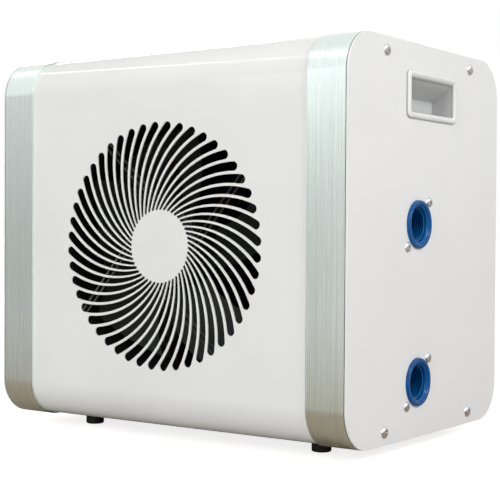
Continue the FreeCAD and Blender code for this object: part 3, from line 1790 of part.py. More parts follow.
# ---------------------------------------------------------------------------------------------
# Compressor and accumulator
# ---------------------------------------------------------------------------------------------
pump_x = partition_x + d.partition_gauge + d.pump_gap_x + d.pump_radius
pump_y = d.port_y + d.vessel_radius + d.pump_gap_y + d.pump_radius
foot_level = pan_top + d.grommet_low
pump_low = foot_level + d.pump_foot_gauge
pump_high = vessel_top - d.pump_drop
discharge_x = pump_x - d.pump_radius / 2
pump_foot_angles = (0, 120, 240)
pump_foot_spots = [
    (
        pump_x + d.pump_foot_circle * math.cos(math.radians(angle)),
        pump_y + d.pump_foot_circle * math.sin(math.radians(angle)),
    )
    for angle in pump_foot_angles
]


def domed_pot(name, radius, wall, low, high, dome, at):
    """Closed hollow vessel with domed ends, welded from sheet."""
    sphere = (radius * radius + dome * dome) / (2 * dome)
    inner = radius - wall
    inner_sphere = (inner * inner + dome * dome) / (2 * dome)
    outside = [(0, low), (radius, low + dome, sphere), (radius, high - dome), (0, high, sphere)]
    inside = [
        (0, low + wall),
        (inner, low + wall + dome, inner_sphere),
        (inner, high - wall - dome),
        (0, high - wall, inner_sphere),
    ]
    solid = turned(f"{name}_outside", outside, at)
    hollow = turned(f"{name}_hollow", inside, at)
    return without(f"{name}_pot", solid, hollow)


def build_compressor():
    """Welded steel shell of the compressor on its three-armed foot plate."""
    pot = domed_pot(
        "compressor",
        d.pump_radius,
        d.pump_wall,
        pump_low - d.pump_dome / 2,
        pump_high,
        d.pump_dome,
        (pump_x, pump_y, 0),
    )
    half = d.pump_foot_width / 2
    arms = [
        rounded_pad(
            f"compressor_arm_{angle}",
            (-half, -half),
            (d.pump_foot_circle + half, half),
            half * NEARLY_ROUND,
            foot_level,
            d.pump_foot_gauge,
            normal="Z",
            turn=Rotation(Vector(0, 0, 1), angle),
            centre=(pump_x, pump_y),
        )
        for angle in pump_foot_angles
    ]
    hollow = doc.getObject("compressor_hollow")
    stub_start = (discharge_x, pump_y, pump_high - d.pump_dome)
    stub_length = d.pump_dome + d.stub_rise
    stub = rod("compressor_stub", "Z", stub_start, d.stub_radius, stub_length)
    bore = d.gas_pipe - d.pipe_wall
    passage = rod("compressor_stub_bore", "Z", stub_start, bore, stub_length + THROUGH)
    holes = [
        rod(
            f"compressor_foot_hole_{n}",
            "Z",
            (x, y, foot_level - THROUGH),
            d.grommet_neck + d.grommet_fit,
            d.pump_foot_gauge + 2 * THROUGH,
        )
        for n, (x, y) in enumerate(pump_foot_spots)
    ]
    solid = joined("compressor_with_feet", pot, stub, *arms)
    return without("compressor_shell", solid, hollow, passage, *holes)


def build_grommets():
    groove = pump_low - pan_top
    top = groove + d.grommet_high
    profile = [
        (d.grommet_bore, 0),
        (d.grommet_radius, 0),
        (d.grommet_radius, d.grommet_low),
        (d.grommet_neck, d.grommet_low),
        (d.grommet_neck, groove),
        (d.grommet_radius - d.grommet_lip, groove),
        (d.grommet_radius - d.grommet_lip, top),
        (d.grommet_bore, top),
    ]
    one = turned("grommet_blank", profile)
    doc.recompute()
    spots = [(x, y, pan_top) for x, y in pump_foot_spots]
    return shaped("compressor_grommets", copies(one, spots))


def build_pump_bolts():
    """Studs on the pan with a washer-faced nut above each grommet."""
    top = d.grommet_low + d.pump_foot_gauge + d.grommet_high
    profile = [
        (0, 0),
        (d.pump_bolt, 0),
        (d.pump_bolt, top),
        (d.pump_bolt_head, top),
        (d.pump_bolt_head, top + d.pump_bolt_rise),
        (0, top + d.pump_bolt_rise),
    ]
    one = turned("pump_bolt_blank", profile)
    doc.recompute()
    spots = [(x, y, pan_top) for x, y in pump_foot_spots]
    return shaped("compressor_bolts", copies(one, spots))


motor_low = pump_high - d.motor_head - d.motor_stack
cylinder_low = pump_low + d.cylinder_base
core_radius = d.pump_radius - d.pump_wall - d.motor_fit


def build_pump_motor():
    """Stator ring of the compressor's motor, pressed in the shell."""
    bore = d.rotor_radius + d.rotor_gap
    profile = [
        (bore, motor_low),
        (core_radius, motor_low),
        (core_radius, motor_low + d.motor_stack),
        (bore, motor_low + d.motor_stack),
    ]
    return turned("compressor_stator", profile, (pump_x, pump_y, 0))


def build_crankshaft():
    """Motor's rotor on the crankshaft, with the eccentric that drives the rolling piston."""
    profile = [
        (0, cylinder_low - d.journal_height),
        (d.crank_radius, cylinder_low - d.journal_height),
        (d.crank_radius, motor_low),
        (d.rotor_radius, motor_low),
        (d.rotor_radius, motor_low + d.motor_stack),
        (0, motor_low + d.motor_stack),
    ]
    shaft = turned("crankshaft", profile, (pump_x, pump_y, 0))
    eccentric = rod(
        "crank_eccentric",
        "Z",
        (pump_x + d.eccentric_offset, pump_y, cylinder_low + d.eccentric_play),
        d.eccentric_radius,
        d.cylinder_height - 2 * d.eccentric_play,
    )
    return joined("compressor_rotor", shaft, eccentric)


def build_pump_block():
    """Lower bearing, cylinder and upper bearing: three plates on each other."""
    bore = d.crank_radius + d.crank_fit
    at = (pump_x, pump_y, 0)
    layers = [
        ("lower_bearing", bore, cylinder_low - d.journal_height, cylinder_low),
        ("cylinder", d.cylinder_bore, cylinder_low, cylinder_low + d.cylinder_height),
        (
            "upper_bearing",
            bore,
            cylinder_low + d.cylinder_height,
            cylinder_low + d.cylinder_height + d.journal_height,
        ),
    ]
    plates = []
    for layer, inner, low, high in layers:
        profile = [(inner, low), (core_radius, low), (core_radius, high), (inner, high)]
        plates.append(turned(f"pump_{layer}", profile, at))
    return grouped("compressor_pump", *plates)


def build_terminal_cover():
    """Plastic cover over the compressor's terminals, seated on its dome."""
    half_x, half_y = d.terminal_length / 2, d.terminal_width / 2
    box = rounded_pad(
        "terminal_blank",
        (-half_x, -half_y),
        (half_x, half_y),
        d.display_corner,
        pump_high - d.pump_dome,
        d.terminal_height + d.pump_dome,
        normal="Z",
        centre=(pump_x + d.terminal_offset, pump_y),
    )
    sphere = (d.pump_radius * d.pump_radius + d.pump_dome * d.pump_dome) / (2 * d.pump_dome)
    seat = doc.addObject("Part::Sphere", "terminal_seat")
    bind(seat, "Radius", sphere + d.seat_fit)
    place(seat, (pump_x, pump_y, pump_high - sphere))
    return without("terminal_cover", box, seat)


bottle_x = pump_x + (d.pump_radius + d.bottle_gap + d.bottle_radius) * math.cos(
    math.radians(float(d.bottle_angle))
)
bottle_y = pump_y + (d.pump_radius + d.bottle_gap + d.bottle_radius) * math.sin(
    math.radians(float(d.bottle_angle))
)
bottle_high = pump_high - d.bottle_drop
bottle_low = bottle_high - d.bottle_height


def build_accumulator():
    """Suction accumulator beside the compressor, on a bracket, with its outlet pipe."""
    pot = domed_pot(
        "accumulator",
        d.bottle_radius,
        d.bottle_wall,
        bottle_low,
        bottle_high,
        d.bottle_dome,
        (bottle_x, bottle_y, 0),
    )
    angle = math.radians(float(d.bottle_angle))
    outward = Vector(math.cos(angle), math.sin(angle), 0)
    centre = Vector(float(pump_x), float(pump_y), 0)
    start = centre + outward * float(d.pump_radius + d.seat_fit)
    gauge = float(d.bracket_gauge)
    level = float((bottle_low + bottle_high) / 2)
    aside = Vector(-outward.y, outward.x, 0)
    plate = Part.makeBox(
        float(d.bottle_gap + d.bottle_radius / 2),
        gauge,
        float(d.bracket_height),
    )
    plate.Placement = Placement(
        start - aside * (gauge / 2) + Vector(0, 0, level),
        Rotation(Vector(0, 0, 1), float(d.bottle_angle)),
    )
    bottle = Vector(float(bottle_x), float(bottle_y), float(bottle_low))
    drop = float(d.pipe_bend) * 2
    inlet = centre + outward * float(d.pump_radius + d.seat_fit)
    inlet.z = bottle.z - drop
    elbow = Vector(bottle.x, bottle.y, inlet.z)
    path = bent_path([bottle + Vector(0, 0, 1), elbow, inlet], d.pipe_bend)
    outlet = swept(path, float(d.gas_pipe), float(d.pipe_wall))
    extras = shaped("accumulator_extras", plate.fuse(outlet))
    hollow = doc.getObject("accumulator_hollow")
    return without("accumulator", joined("accumulator_solid", pot, extras), hollow)


build_compressor()
build_grommets()
build_pump_bolts()
build_pump_motor()
build_crankshaft()
build_pump_block()
build_terminal_cover()
build_accumulator()

# ---------------------------------------------------------------------------------------------
# Valves and refrigerant pipes
# ---------------------------------------------------------------------------------------------
valve_x = partition_x + d.partition_gauge + d.valve_gap + d.valve_radius
valve_z = vessel_top + d.valve_lift
valve_side = valve_x + d.valve_radius


def build_reversing_valve():
    """Four-way valve: cylinder with its solenoid, lying along the partition."""
    start = d.valve_y - d.valve_length / 2
    tube = rod("valve_tube", "Y", (valve_x, start, valve_z), d.valve_radius, d.valve_length)
    coil = rod(
        "valve_solenoid",
        "Y",
        (valve_x, start - d.valve_coil_length, valve_z),
        d.valve_coil_radius,
        d.valve_coil_length,
    )
    return joined("reversing_valve", tube, coil)


def build_pipes():
    """Copper pipes between the compressor, the valve, the vessel's coil and the air coil."""
    discharge_start = float(pump_high + d.stub_rise)
    lift = float(2 * d.pipe_bend)
    valve_low = float(valve_z - d.valve_radius)
    run_level = valve_low - lift
    vx, vy, vz = float(valve_x), float(d.valve_y), float(valve_z)
    side = float(valve_side)
    discharge = pipe(
        [
            (discharge_x, pump_y, discharge_start),
            (discharge_x, pump_y, run_level),
            (vx, vy, run_level),
            (vx, vy, valve_low),
        ],
        d.gas_pipe,
        d.pipe_bend,
    )
    shaped("discharge_pipe", discharge)
    pitch = float(d.valve_port_pitch)
    lane = side + float(d.suction_lane)
    suction = pipe(
        [
            (side, vy, vz),
            (lane, vy, vz),
            (lane, bottle_y, vz),
            (bottle_x, bottle_y, vz),
            (bottle_x, bottle_y, bottle_high),
        ],
        d.suction_pipe,
        d.pipe_bend + d.suction_pipe / 2,
    )
    shaped("suction_pipe", suction)
    hot = pipe(
        [
            (side, vy - pitch, vz),
            (side + float(d.gas_lane), vy - pitch, vz),
            (tail_high.x, tail_high.y, vz),
            tail_high,
        ],
        d.gas_pipe,
        d.pipe_bend,
    )
    near = side + float(d.gas_lane)
    gas_y, gas_z = float(row_y[1]), float(tube_levels[0])
    cold = pipe(
        [
            (side, vy + pitch, vz),
            (near, vy + pitch, vz),
            (near, gas_y, vz),
            (near, gas_y, gas_z),
            (tube_mouth, gas_y, gas_z),
        ],
        d.gas_pipe,
        d.pipe_bend,
    )
    shaped("gas_pipes", Part.makeCompound([hot, cold]))
    x = float(liquid_x)
    tail = tail_low
    liquid_y = float(row_y[0])
    low = float(d.expansion_z)
    top = low + float(d.expansion_height)
    return_y = tail.y + 4 * float(d.liquid_bend)
    port_level = (low + top) / 2
    first = pipe([tail, (x, tail.y, tail.z), (x, tail.y, low)], d.liquid_pipe, d.liquid_bend)
    second = pipe(
        [
            (x, tail.y + float(d.expansion_radius), port_level),
            (x, return_y, port_level),
            (x, return_y, gas_z),
            (x, liquid_y, gas_z),
            (tube_mouth, liquid_y, gas_z),
        ],
        d.liquid_pipe,
        d.liquid_bend,
    )
    shaped("liquid_pipe", Part.makeCompound([first, second]))
    rod(
        "expansion_valve",
        "Z",
        (liquid_x, tail.y, d.expansion_z),
        d.expansion_radius,
        d.expansion_height,
    )


build_reversing_valve()
build_pipes()

# ---------------------------------------------------------------------------------------------
# Controls
# ---------------------------------------------------------------------------------------------
box_left = partition_x + d.partition_gauge
box_right = box_left + d.box_length
box_base = valve_z + d.box_lift
box_top = box_base + d.box_height
box_front = d.partition_turn + d.box_clear
box_back = box_front + d.box_width
board_low = box_base + d.box_gauge + d.post_height
board_left = box_left + d.board_margin
board_right = box_right - d.board_margin
board_front = box_front + d.board_margin
board_back = board_front + d.board_length


def build_control_box():
    """Folded tray for the electronics, on the side of the partition."""
    outside = block(
        "box_outside", (box_left, box_front, box_base), (box_right, box_back, box_top)
    )
    inside = block(
        "box_inside",
        (box_left + d.box_gauge, box_front + d.box_gauge, box_base + d.box_gauge),
        (box_right - d.box_gauge, box_back - d.box_gauge, box_top + THROUGH),
    )
    edge = 2 * d.post_radius
    posts = [
        rod(f"box_post_{n}", "Z", (x, y, box_base), d.post_radius, d.box_gauge + d.post_height)
        for n, (x, y) in enumerate(
            (x, y)
            for x in (board_left + edge, board_right - edge)
            for y in (board_front + edge, board_back - edge)
        )
    ]
    return joined("control_box", without("box_tray", outside, inside), *posts)


# position as shares of the board's length and width, then the part's length, width and height
BOARD_PARTS = {
    "transformer": (0.08, 0.08, 30, 28, 24),
    "relay_compressor": (0.62, 0.08, 20, 16, 20),
    "relay_fan": (0.62, 0.30, 20, 16, 16),
    "terminal_block": (0.08, 0.72, 56, 14, 16),
    "processor": (0.30, 0.48, 16, 16, 3),
}


def build_circuit_board():
    """Board with its transformer, relays and terminal block as separate solids."""
    top = board_low + d.board_gauge
    board = block("board_sheet", (board_left, board_front, board_low), (board_right, board_back, top))

    def part(name, x_share, y_share, length, width, height):
        x = board_left + (board_right - board_left) * x_share
        y = board_front + (board_back - board_front) * y_share
        return block(name, (x, y, top), (x + length, y + width, top + height))

    parts = [part(name, *numbers) for name, numbers in BOARD_PARTS.items()]
    return grouped("circuit_board", board, *parts)


def build_capacitor():
    """Run capacitor lying on the floor of the control box."""
    y = box_back - d.box_gauge - d.board_margin - d.capacitor_radius
    start = (board_left, y, box_base + d.box_gauge + d.capacitor_radius)
    return rod("run_capacitor", "X", start, d.capacitor_radius, d.capacitor_length)


bezel_high = cover_high + d.display_rise
button_spots = {
    "down": (display_x - d.button_pitch, d.display_y - d.button_row),
    "power": (display_x, d.display_y - d.button_row),
    "up": (display_x + d.button_pitch, d.display_y - d.button_row),
}
panel_low_z = bezel_high - d.panel_gauge


def display_pad(name, inset, start, thickness):
    """Rounded slab with the display's outline, set in evenly."""
    half_x, half_y = d.display_length / 2 - inset, d.display_width / 2 - inset
    return rounded_pad(
        name,
        (-half_x, -half_y),
        (half_x, half_y),
        d.display_corner / 2,
        start,
        thickness,
        normal="Z",
        centre=(display_x, d.display_y),
    )


def build_display_housing():
    """Moulded tray sunk in the cover's top, with a flange on the cover."""
    bezel = display_pad("housing_bezel", 0, cover_high, d.display_rise)
    body = display_pad("housing_body", d.display_flange, bezel_high - d.display_depth,
                       d.display_depth)
    well = display_pad(
        "housing_well",
        d.display_flange + d.display_wall,
        bezel_high - d.display_depth + d.display_wall,
        d.display_depth,
    )
    return without("display_housing", joined("housing_solid", bezel, body), well)


def build_display_panel():
    """Dark window that fills the housing's mouth, with a hole for each button."""
    inset = d.display_flange + d.display_wall + d.panel_fit
    sheet_item = display_pad("display_sheet", inset, panel_low_z, d.panel_gauge)
    holes = [
        rod(
            f"display_hole_{name}",
            "Z",
            (x, y, panel_low_z - THROUGH),
            d.button_radius + d.button_fit,
            d.panel_gauge + 2 * THROUGH,
        )
        for name, (x, y) in button_spots.items()
    ]
    return without("display_panel", sheet_item, *holes)


def build_button(name, x, y):
    """Round push button: a rim under the window stops it, and its stem stands on the switch."""
    rim = d.button_radius + d.button_rim
    rim_top = panel_low_z - d.button_fit / 2
    rim_low = rim_top - d.button_rim_height
    floor = bezel_high - d.display_depth + d.display_wall
    stem = d.button_radius / 2
    top = bezel_high + d.button_rise
    profile = [
        (0, floor + d.button_travel + d.button_fit),
        (stem, floor + d.button_travel + d.button_fit),
        (stem, rim_low),
        (rim, rim_low),
        (rim, rim_top),
        (d.button_radius, rim_top),
        (d.button_radius, top),
        (0, top),
    ]
    return turned(f"button_{name}", profile, (x, y, 0))


build_control_box()
build_circuit_board()
build_capacitor()
build_display_housing()
build_display_panel()
for name, (x, y) in button_spots.items():
    build_button(name, x, y)

# ---------------------------------------------------------------------------------------------
# Screws: each kind is one node
# ---------------------------------------------------------------------------------------------
plate_screw_length = d.plate_gauge + d.ring_wall + d.boss_depth
plate_screw = pan_head_screw(
    "plate_screw", d.plate_screw, d.plate_screw_head, d.plate_screw_rise, plate_screw_length
)
port_screw = pan_head_screw(
    "port_screw", d.port_screw, d.port_screw_head, d.port_screw_rise, d.port_screw_length
)
foot_screw_length = pan_top - cover_low + d.foot_thread
foot_screw = pan_head_screw(
    "foot_screw", d.foot_screw, d.foot_screw_head, d.foot_screw_rise, foot_screw_length
)
small_screw = pan_head_screw(
    "small_screw", d.small_screw, d.small_screw_head, d.small_screw_rise, d.small_screw_length
)
doc.recompute()
plate_spots = {
    axis: [(sign * half_length, y, z) for y, z in corner_spots]
    for axis, sign in (("X", 1), ("-X", -1))
}
shaped(
    "end_plate_screws",
    Part.makeCompound([copies(plate_screw, spots, axis) for axis, spots in plate_spots.items()]),
)
port_spots = [(half_length, y, z) for spots in port_screw_spots.values() for y, z in spots]
shaped("port_screws", copies(port_screw, port_spots, "X"))
shaped("foot_screws", copies(foot_screw, [(x, y, pan_top) for x, y in foot_spots.values()]))
rear_spots = [(x, cover_y, z) for x, z in rear_screw_spots]
shaped(
    "panel_screws",
    Part.makeCompound(
        [copies(small_screw, rear_spots, "Y"), copies(small_screw, motor_screw_spots, "-Y")]
    ),
)

# ---------------------------------------------------------------------------------------------
# Check and write
# ---------------------------------------------------------------------------------------------
NODES = [
    "base_pan", "wrap_cover", "rear_panel", "rear_guard", "cable_gland", "drain_nipple",
    "end_ring_left", "end_ring_right", "end_plate_left", "end_plate_right",
    "handle_cup_left", "handle_cup_right", "port_outlet", "port_inlet",
    "foot_front_left", "foot_front_right", "foot_rear_left", "foot_rear_right",
    "end_plate_screws", "port_screws", "foot_screws", "panel_screws",
    "fan_ring", "fan_nuts", "motor_support", "fan_motor_stator", "fan_motor_rotor",
    "fan_impeller", "fan_bearings",
    "evaporator_fins", "evaporator_tubes", "partition_wall",
    "exchanger_shell", "exchanger_cap", "titanium_coil", "flow_switch", "flow_paddle",
    "compressor_shell", "compressor_grommets", "compressor_bolts", "compressor_stator",
    "compressor_rotor", "compressor_pump", "terminal_cover", "accumulator",
    "reversing_valve", "expansion_valve", "discharge_pipe", "suction_pipe", "gas_pipes",
    "liquid_pipe",
    "control_box", "circuit_board", "run_capacitor", "display_housing", "display_panel",
    "button_down", "button_power", "button_up",
]

doc.recompute()
for item in doc.Objects:
    if "Invalid" in item.State or "Error" in item.State:
        raise RuntimeError(f"{item.Name} did not build: {item.State}")

os.makedirs("parts", exist_ok=True)
for node in NODES:
    item = doc.getObject(node)
    if item is None or item.Shape.isNull() or not item.Shape.isValid():
        raise RuntimeError(f"{node} has no valid shape")
    item.Label = node
    item.Shape.exportStep(os.path.join("parts", f"{node}.step"))
    print(f"{node}: {len(item.Shape.Solids)} solids, {item.Shape.Volume / 1000:.1f} cm3")
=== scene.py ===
"""Looks of the pool heat pump unit: its shell, trim, fittings and finishes, with a studio."""

import json
import math

import bmesh
import bpy
from mathutils import Matrix, Vector


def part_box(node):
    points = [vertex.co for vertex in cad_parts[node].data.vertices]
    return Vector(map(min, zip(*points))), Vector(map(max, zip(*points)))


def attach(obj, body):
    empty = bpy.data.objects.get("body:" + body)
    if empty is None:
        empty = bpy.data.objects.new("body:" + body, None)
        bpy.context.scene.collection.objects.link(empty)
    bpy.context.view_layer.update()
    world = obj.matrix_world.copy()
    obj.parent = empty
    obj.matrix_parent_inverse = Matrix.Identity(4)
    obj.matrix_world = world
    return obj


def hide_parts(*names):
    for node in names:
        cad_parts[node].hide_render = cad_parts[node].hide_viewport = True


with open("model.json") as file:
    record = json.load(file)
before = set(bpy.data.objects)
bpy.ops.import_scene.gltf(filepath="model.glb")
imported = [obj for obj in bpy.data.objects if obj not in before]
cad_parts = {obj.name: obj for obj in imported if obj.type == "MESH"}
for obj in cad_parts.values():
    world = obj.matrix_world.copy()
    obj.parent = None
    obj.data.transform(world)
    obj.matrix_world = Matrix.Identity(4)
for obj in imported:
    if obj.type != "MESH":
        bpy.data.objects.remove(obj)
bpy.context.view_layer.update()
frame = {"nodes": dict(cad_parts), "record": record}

# ---------------------------------------------------------------------------------------------
# Sizes of the real parts, in millimetres
# ---------------------------------------------------------------------------------------------
MM = 0.001
PORT_SCREW_CIRCLE = 32.5
PORT_RISE = 3.2          # how far a water port stands out of the plate
PORT_EAR_RADIUS = 8.0
PORT_EAR_GAUGE = 6.0
PORT_EAR_DEPTH = 5.0     # of its middle, behind the plate's face
THREAD_PITCH = 2.3
THREAD_TURNS = 7
THREAD_START = 18.8      # behind the plate's face
HANDLE_RISE = 3.5
HANDLE_HALF_HEIGHT = 24.0
CUP_DEPTH = 23.5         # behind the plate's face
CUP_DROP = 8.0           # how far the back of the cup sits below its middle
CUP_BACK = 8.0           # half height of the flat back
MOUTH_HALF_HEIGHT = 17.5
MOUTH_HALF_WIDTH = 46.5
MOUTH_CORNER = 1.6
PLATE_FACE = 227.0       # from the cabinet's middle
GRIP_BAND = 7.0          # how far to each side of the plate's face the grip's tones and painted shade change
GRIP_CUP_SHADE_END = 0.42      # share of that band, outwards, where the cup's painted shade ends
GRIP_FACE = 0.5          # the plate's face
GRIP_GAP_SHADOW_END = 0.57      # end of the painted shadow line where the bezel meets the plate
GRIP_BEZEL = 0.66        # start of the bezel's own tone
BAND_OUTER_EDGE = 225.0  # from the cabinet's middle
SEAM_SHADOW_WIDTH = 0.7          # width of the painted seam shadow along a band's outer edge
SYMBOL_RISE = 0.15
FIN_PITCH = 2.4
FIN_GAUGE = 0.15
FIN_WAVE = 1.15          # swing of a corrugated fin to each side
FIN_WAVES = 2.5          # waves over the depth of the coil
FIN_FACETS = 10          # flat strips over that depth
FIN_INSET = 2.0          # from the front and back of the tube sheets
TUBE_SHEET = 1.2         # gauge of the plates at both ends of the coil
BESIDE_CORNER = 0.5      # from the end of a rounded corner to its spare vertex

# distance in metres, and turns in degrees
TOUCHING = 1e-6          # vertices this close are one
FLAT_TURN = 0.4          # faces that turn by less are in one plane
EDGE_TURN = 35           # faces that turn by more meet in an edge
FIRST_SCREW = 20         # turn of the first screw's recess
NEXT_SCREW = 37          # turn from each screw to the next


# ---------------------------------------------------------------------------------------------
# Colours and material nodes
# ---------------------------------------------------------------------------------------------
def linear(code):
    """Linear colour of an sRGB hex code."""
    parts = [int(code[n:n + 2], 16) / 255 for n in (1, 3, 5)]
    return [p / 12.92 if p <= 0.04045 else ((p + 0.055) / 1.055) ** 2.4 for p in parts] + [1.0]


def add(tree, kind, inputs=None, stops=(), **settings):
    """Adds a node. Inputs are values, or output sockets to link. Stops colour its ramp."""
    node = tree.nodes.new(kind)
    for name, value in settings.items():
        setattr(node, name, value)
    for name, value in (inputs or {}).items():
        socket = node.inputs[name]
        if isinstance(value, bpy.types.NodeSocket):
            tree.links.new(value, socket)
        else:
            socket.default_value = value
    if stops:
        marks = node.color_ramp.elements
        while len(marks) < len(stops):
            marks.new(0.5)
        for mark, (place, code) in zip(marks, stops):
            mark.position = place
            mark.color = linear(code)
    return node


def material(name):
    """A new material with its shader, and its Object coordinates."""
    made = bpy.data.materials.new(name)
    made.use_nodes = True
    tree = made.node_tree
    shader = tree.nodes["Principled BSDF"]
    where = add(tree, "ShaderNodeTexCoord").outputs["Object"]
    return made, tree, shader, where


def sideways(tree, where):
    """Distance from the cabinet's middle towards either end."""
    across = add(tree, "ShaderNodeSeparateXYZ", {"Vector": where}).outputs["X"]
    return add(tree, "ShaderNodeMath", {0: across}, operation="ABSOLUTE").outputs["Value"]


def grain(tree, where, grain_mm, detail=2.0, roughness=0.5, stretch=(1, 1, 1)):
    """Noise whose grains are about grain_mm across, times the stretch along each axis."""
    scale = [1 / (MM * grain_mm * s) for s in stretch]
    mapped = add(tree, "ShaderNodeMapping", {"Vector": where, "Scale": scale})
    return add(
        tree,
        "ShaderNodeTexNoise",
        {
            "Vector": mapped.outputs["Vector"],
            "Scale": 1.0,
            "Detail": detail,
            "Roughness": roughness,
        },
    ).outputs["Fac"]


def relief(tree, shader, height, depth_mm, strength=1.0):
    """Fine relief of a depth in mm that follows the height."""
    bump = add(
        tree,
        "ShaderNodeBump",
        {"Height": height, "Distance": depth_mm * MM, "Strength": strength},
    )
    tree.links.new(bump.outputs["Normal"], shader.inputs["Normal"])


def vary(tree, shader, socket, source, low, high):
    """Lets a socket run from low to high with the source, which noise keeps near its middle."""
    spread = add(
        tree,
        "ShaderNodeMapRange",
        {"Value": source, "From Min": 0.25, "From Max": 0.75, "To Min": low, "To Max": high},
    )
    tree.links.new(spread.outputs["Result"], shader.inputs[socket])


def two_tones(tree, source, dark, light):
    """Colour that drifts between two close hex codes with the source."""
    stops = [(0.3, dark), (0.7, light)]
    return add(tree, "ShaderNodeValToRGB", {"Fac": source}, stops).outputs["Color"]


def paint(tree, shader, source, dark, light):
    """Gives a finish its two close tones."""
    tree.links.new(two_tones(tree, source, dark, light), shader.inputs["Base Color"])


def powder_coat(name, dark, light, roughness, peel_mm=0, depth_mm=0):
    """Polyester powder baked on sheet steel, with the shallow swell of orange peel if asked."""
    made, tree, shader, where = material(name)
    drift = grain(tree, where, 90, detail=3)
    paint(tree, shader, drift, dark, light)
    vary(tree, shader, "Roughness", grain(tree, where, 30), roughness - 0.03, roughness + 0.03)
    shader.inputs["IOR"].default_value = 1.5
    if depth_mm:
        relief(tree, shader, grain(tree, where, peel_mm, detail=1.0), depth_mm)
    return made


def brushed_anodised(name, dark, light, seam_shadow_tone):
    """Anodised aluminium strip, brushed along its length: hairlines run round the band.

    A painted shadow darkens the outer edge, so a thin line shows between the band and the end
    plate.
    """
    made, tree, shader, where = material(name)
    shader.inputs["Metallic"].default_value = 1.0
    hair = grain(tree, where, 0.7, detail=4, roughness=0.75, stretch=(1, 300, 300))
    brushed = two_tones(tree, hair, dark, light)
    reach = sideways(tree, where)
    # painted shadow of the seam between the band and the end plate
    seam_shadow_mask = add(
        tree,
        "ShaderNodeMath",
        {0: reach, 1: (BAND_OUTER_EDGE - SEAM_SHADOW_WIDTH) * MM},
        operation="GREATER_THAN",
    ).outputs["Value"]
    tone = add(
        tree,
        "ShaderNodeMix",
        {"Factor": seam_shadow_mask, 6: brushed, 7: linear(seam_shadow_tone)},
        data_type="RGBA",
    )
    tree.links.new(tone.outputs[2], shader.inputs["Base Color"])
    vary(tree, shader, "Roughness", hair, 0.2, 0.32)
    relief(tree, shader, hair, 0.02, 0.15)
    return made


def bare_metal(name, dark, light, roughness, grain_mm=8.0):
    """Plain metal whose sheen drifts a little from place to place."""
    made, tree, shader, where = material(name)
    shader.inputs["Metallic"].default_value = 1.0
    drift = grain(tree, where, grain_mm, detail=4)
    paint(tree, shader, drift, dark, light)
    vary(tree, shader, "Roughness", drift, roughness * 0.8, roughness * 1.25)
    relief(tree, shader, grain(tree, where, 0.6), 0.01, 0.2)
    return made


def moulded(name, dark, light, roughness, peel_mm=0.8, depth_mm=0.015, coat=0.0, gleam=0.5):
    """Injection-moulded plastic with the fine texture of its tool."""
    made, tree, shader, where = material(name)
    drift = grain(tree, where, 40, detail=3)
    paint(tree, shader, drift, dark, light)
    vary(tree, shader, "Roughness", drift, roughness - 0.03, roughness + 0.04)
    shader.inputs["IOR"].default_value = 1.52
    shader.inputs["Coat Weight"].default_value = coat
    shader.inputs["Specular IOR Level"].default_value = gleam
    relief(tree, shader, grain(tree, where, peel_mm), depth_mm, 0.3)
    return made


def grip_plastic(name, dark, light, recess, gap_shadow, roughness):
    """Moulded grip: smooth bezel, painted shade darkening the cup behind it, and a painted shadow
    line where the bezel meets the plate.
    """
    made = moulded(name, dark, light, roughness)
    tree = made.node_tree
    shader = tree.nodes["Principled BSDF"]
    smooth = shader.inputs["Base Color"].links[0].from_socket
    where = tree.nodes["Texture Coordinate"].outputs["Object"]
    reach = sideways(tree, where)
    depth = add(
        tree,
        "ShaderNodeMapRange",
        {
            "Value": reach,
            "From Min": (PLATE_FACE - GRIP_BAND) * MM,
            "From Max": (PLATE_FACE + GRIP_BAND) * MM,
        },
    ).outputs["Result"]
    # painted shade in the cup, then a painted shadow line at the plate's face
    inner = add(
        tree,
        "ShaderNodeValToRGB",
        {"Fac": depth},
        [(0.0, recess), (GRIP_CUP_SHADE_END, recess), (GRIP_FACE, gap_shadow), (GRIP_GAP_SHADOW_END, gap_shadow)],
    ).outputs["Color"]
    edge = add(
        tree,
        "ShaderNodeMapRange",
        {"Value": depth, "From Min": GRIP_GAP_SHADOW_END, "From Max": GRIP_BEZEL},
    ).outputs["Result"]
    tone = add(
        tree,
        "ShaderNodeMix",
        {"Factor": edge, 6: inner, 7: smooth},
        data_type="RGBA",
    )
    tree.links.new(tone.outputs[2], shader.inputs["Base Color"])
    return made


def galvanised(name, dark, light, crystal_mm):
    """Zinc-dipped steel: patches of crystals that catch the light apart."""
    made, tree, shader, where = material(name)
    shader.inputs["Metallic"].default_value = 1.0
    cells = add(tree, "ShaderNodeTexVoronoi", {"Vector": where, "Scale": 1 / (MM * crystal_mm)})
    tone = add(tree, "ShaderNodeSeparateColor", {"Color": cells.outputs["Color"]})
    paint(tree, shader, tone.outputs["Red"], dark, light)
    vary(tree, shader, "Roughness", tone.outputs["Green"], 0.34, 0.5)
    return made


def rubber(name, dark, light):
    """Moulded rubber: dull, with a dusty bloom."""
    made, tree, shader, where = material(name)
    dust = grain(tree, where, 4, detail=5)
    paint(tree, shader, dust, dark, light)
    vary(tree, shader, "Roughness", dust, 0.6, 0.78)
    relief(tree, shader, grain(tree, where, 0.5), 0.03, 0.4)
    return made


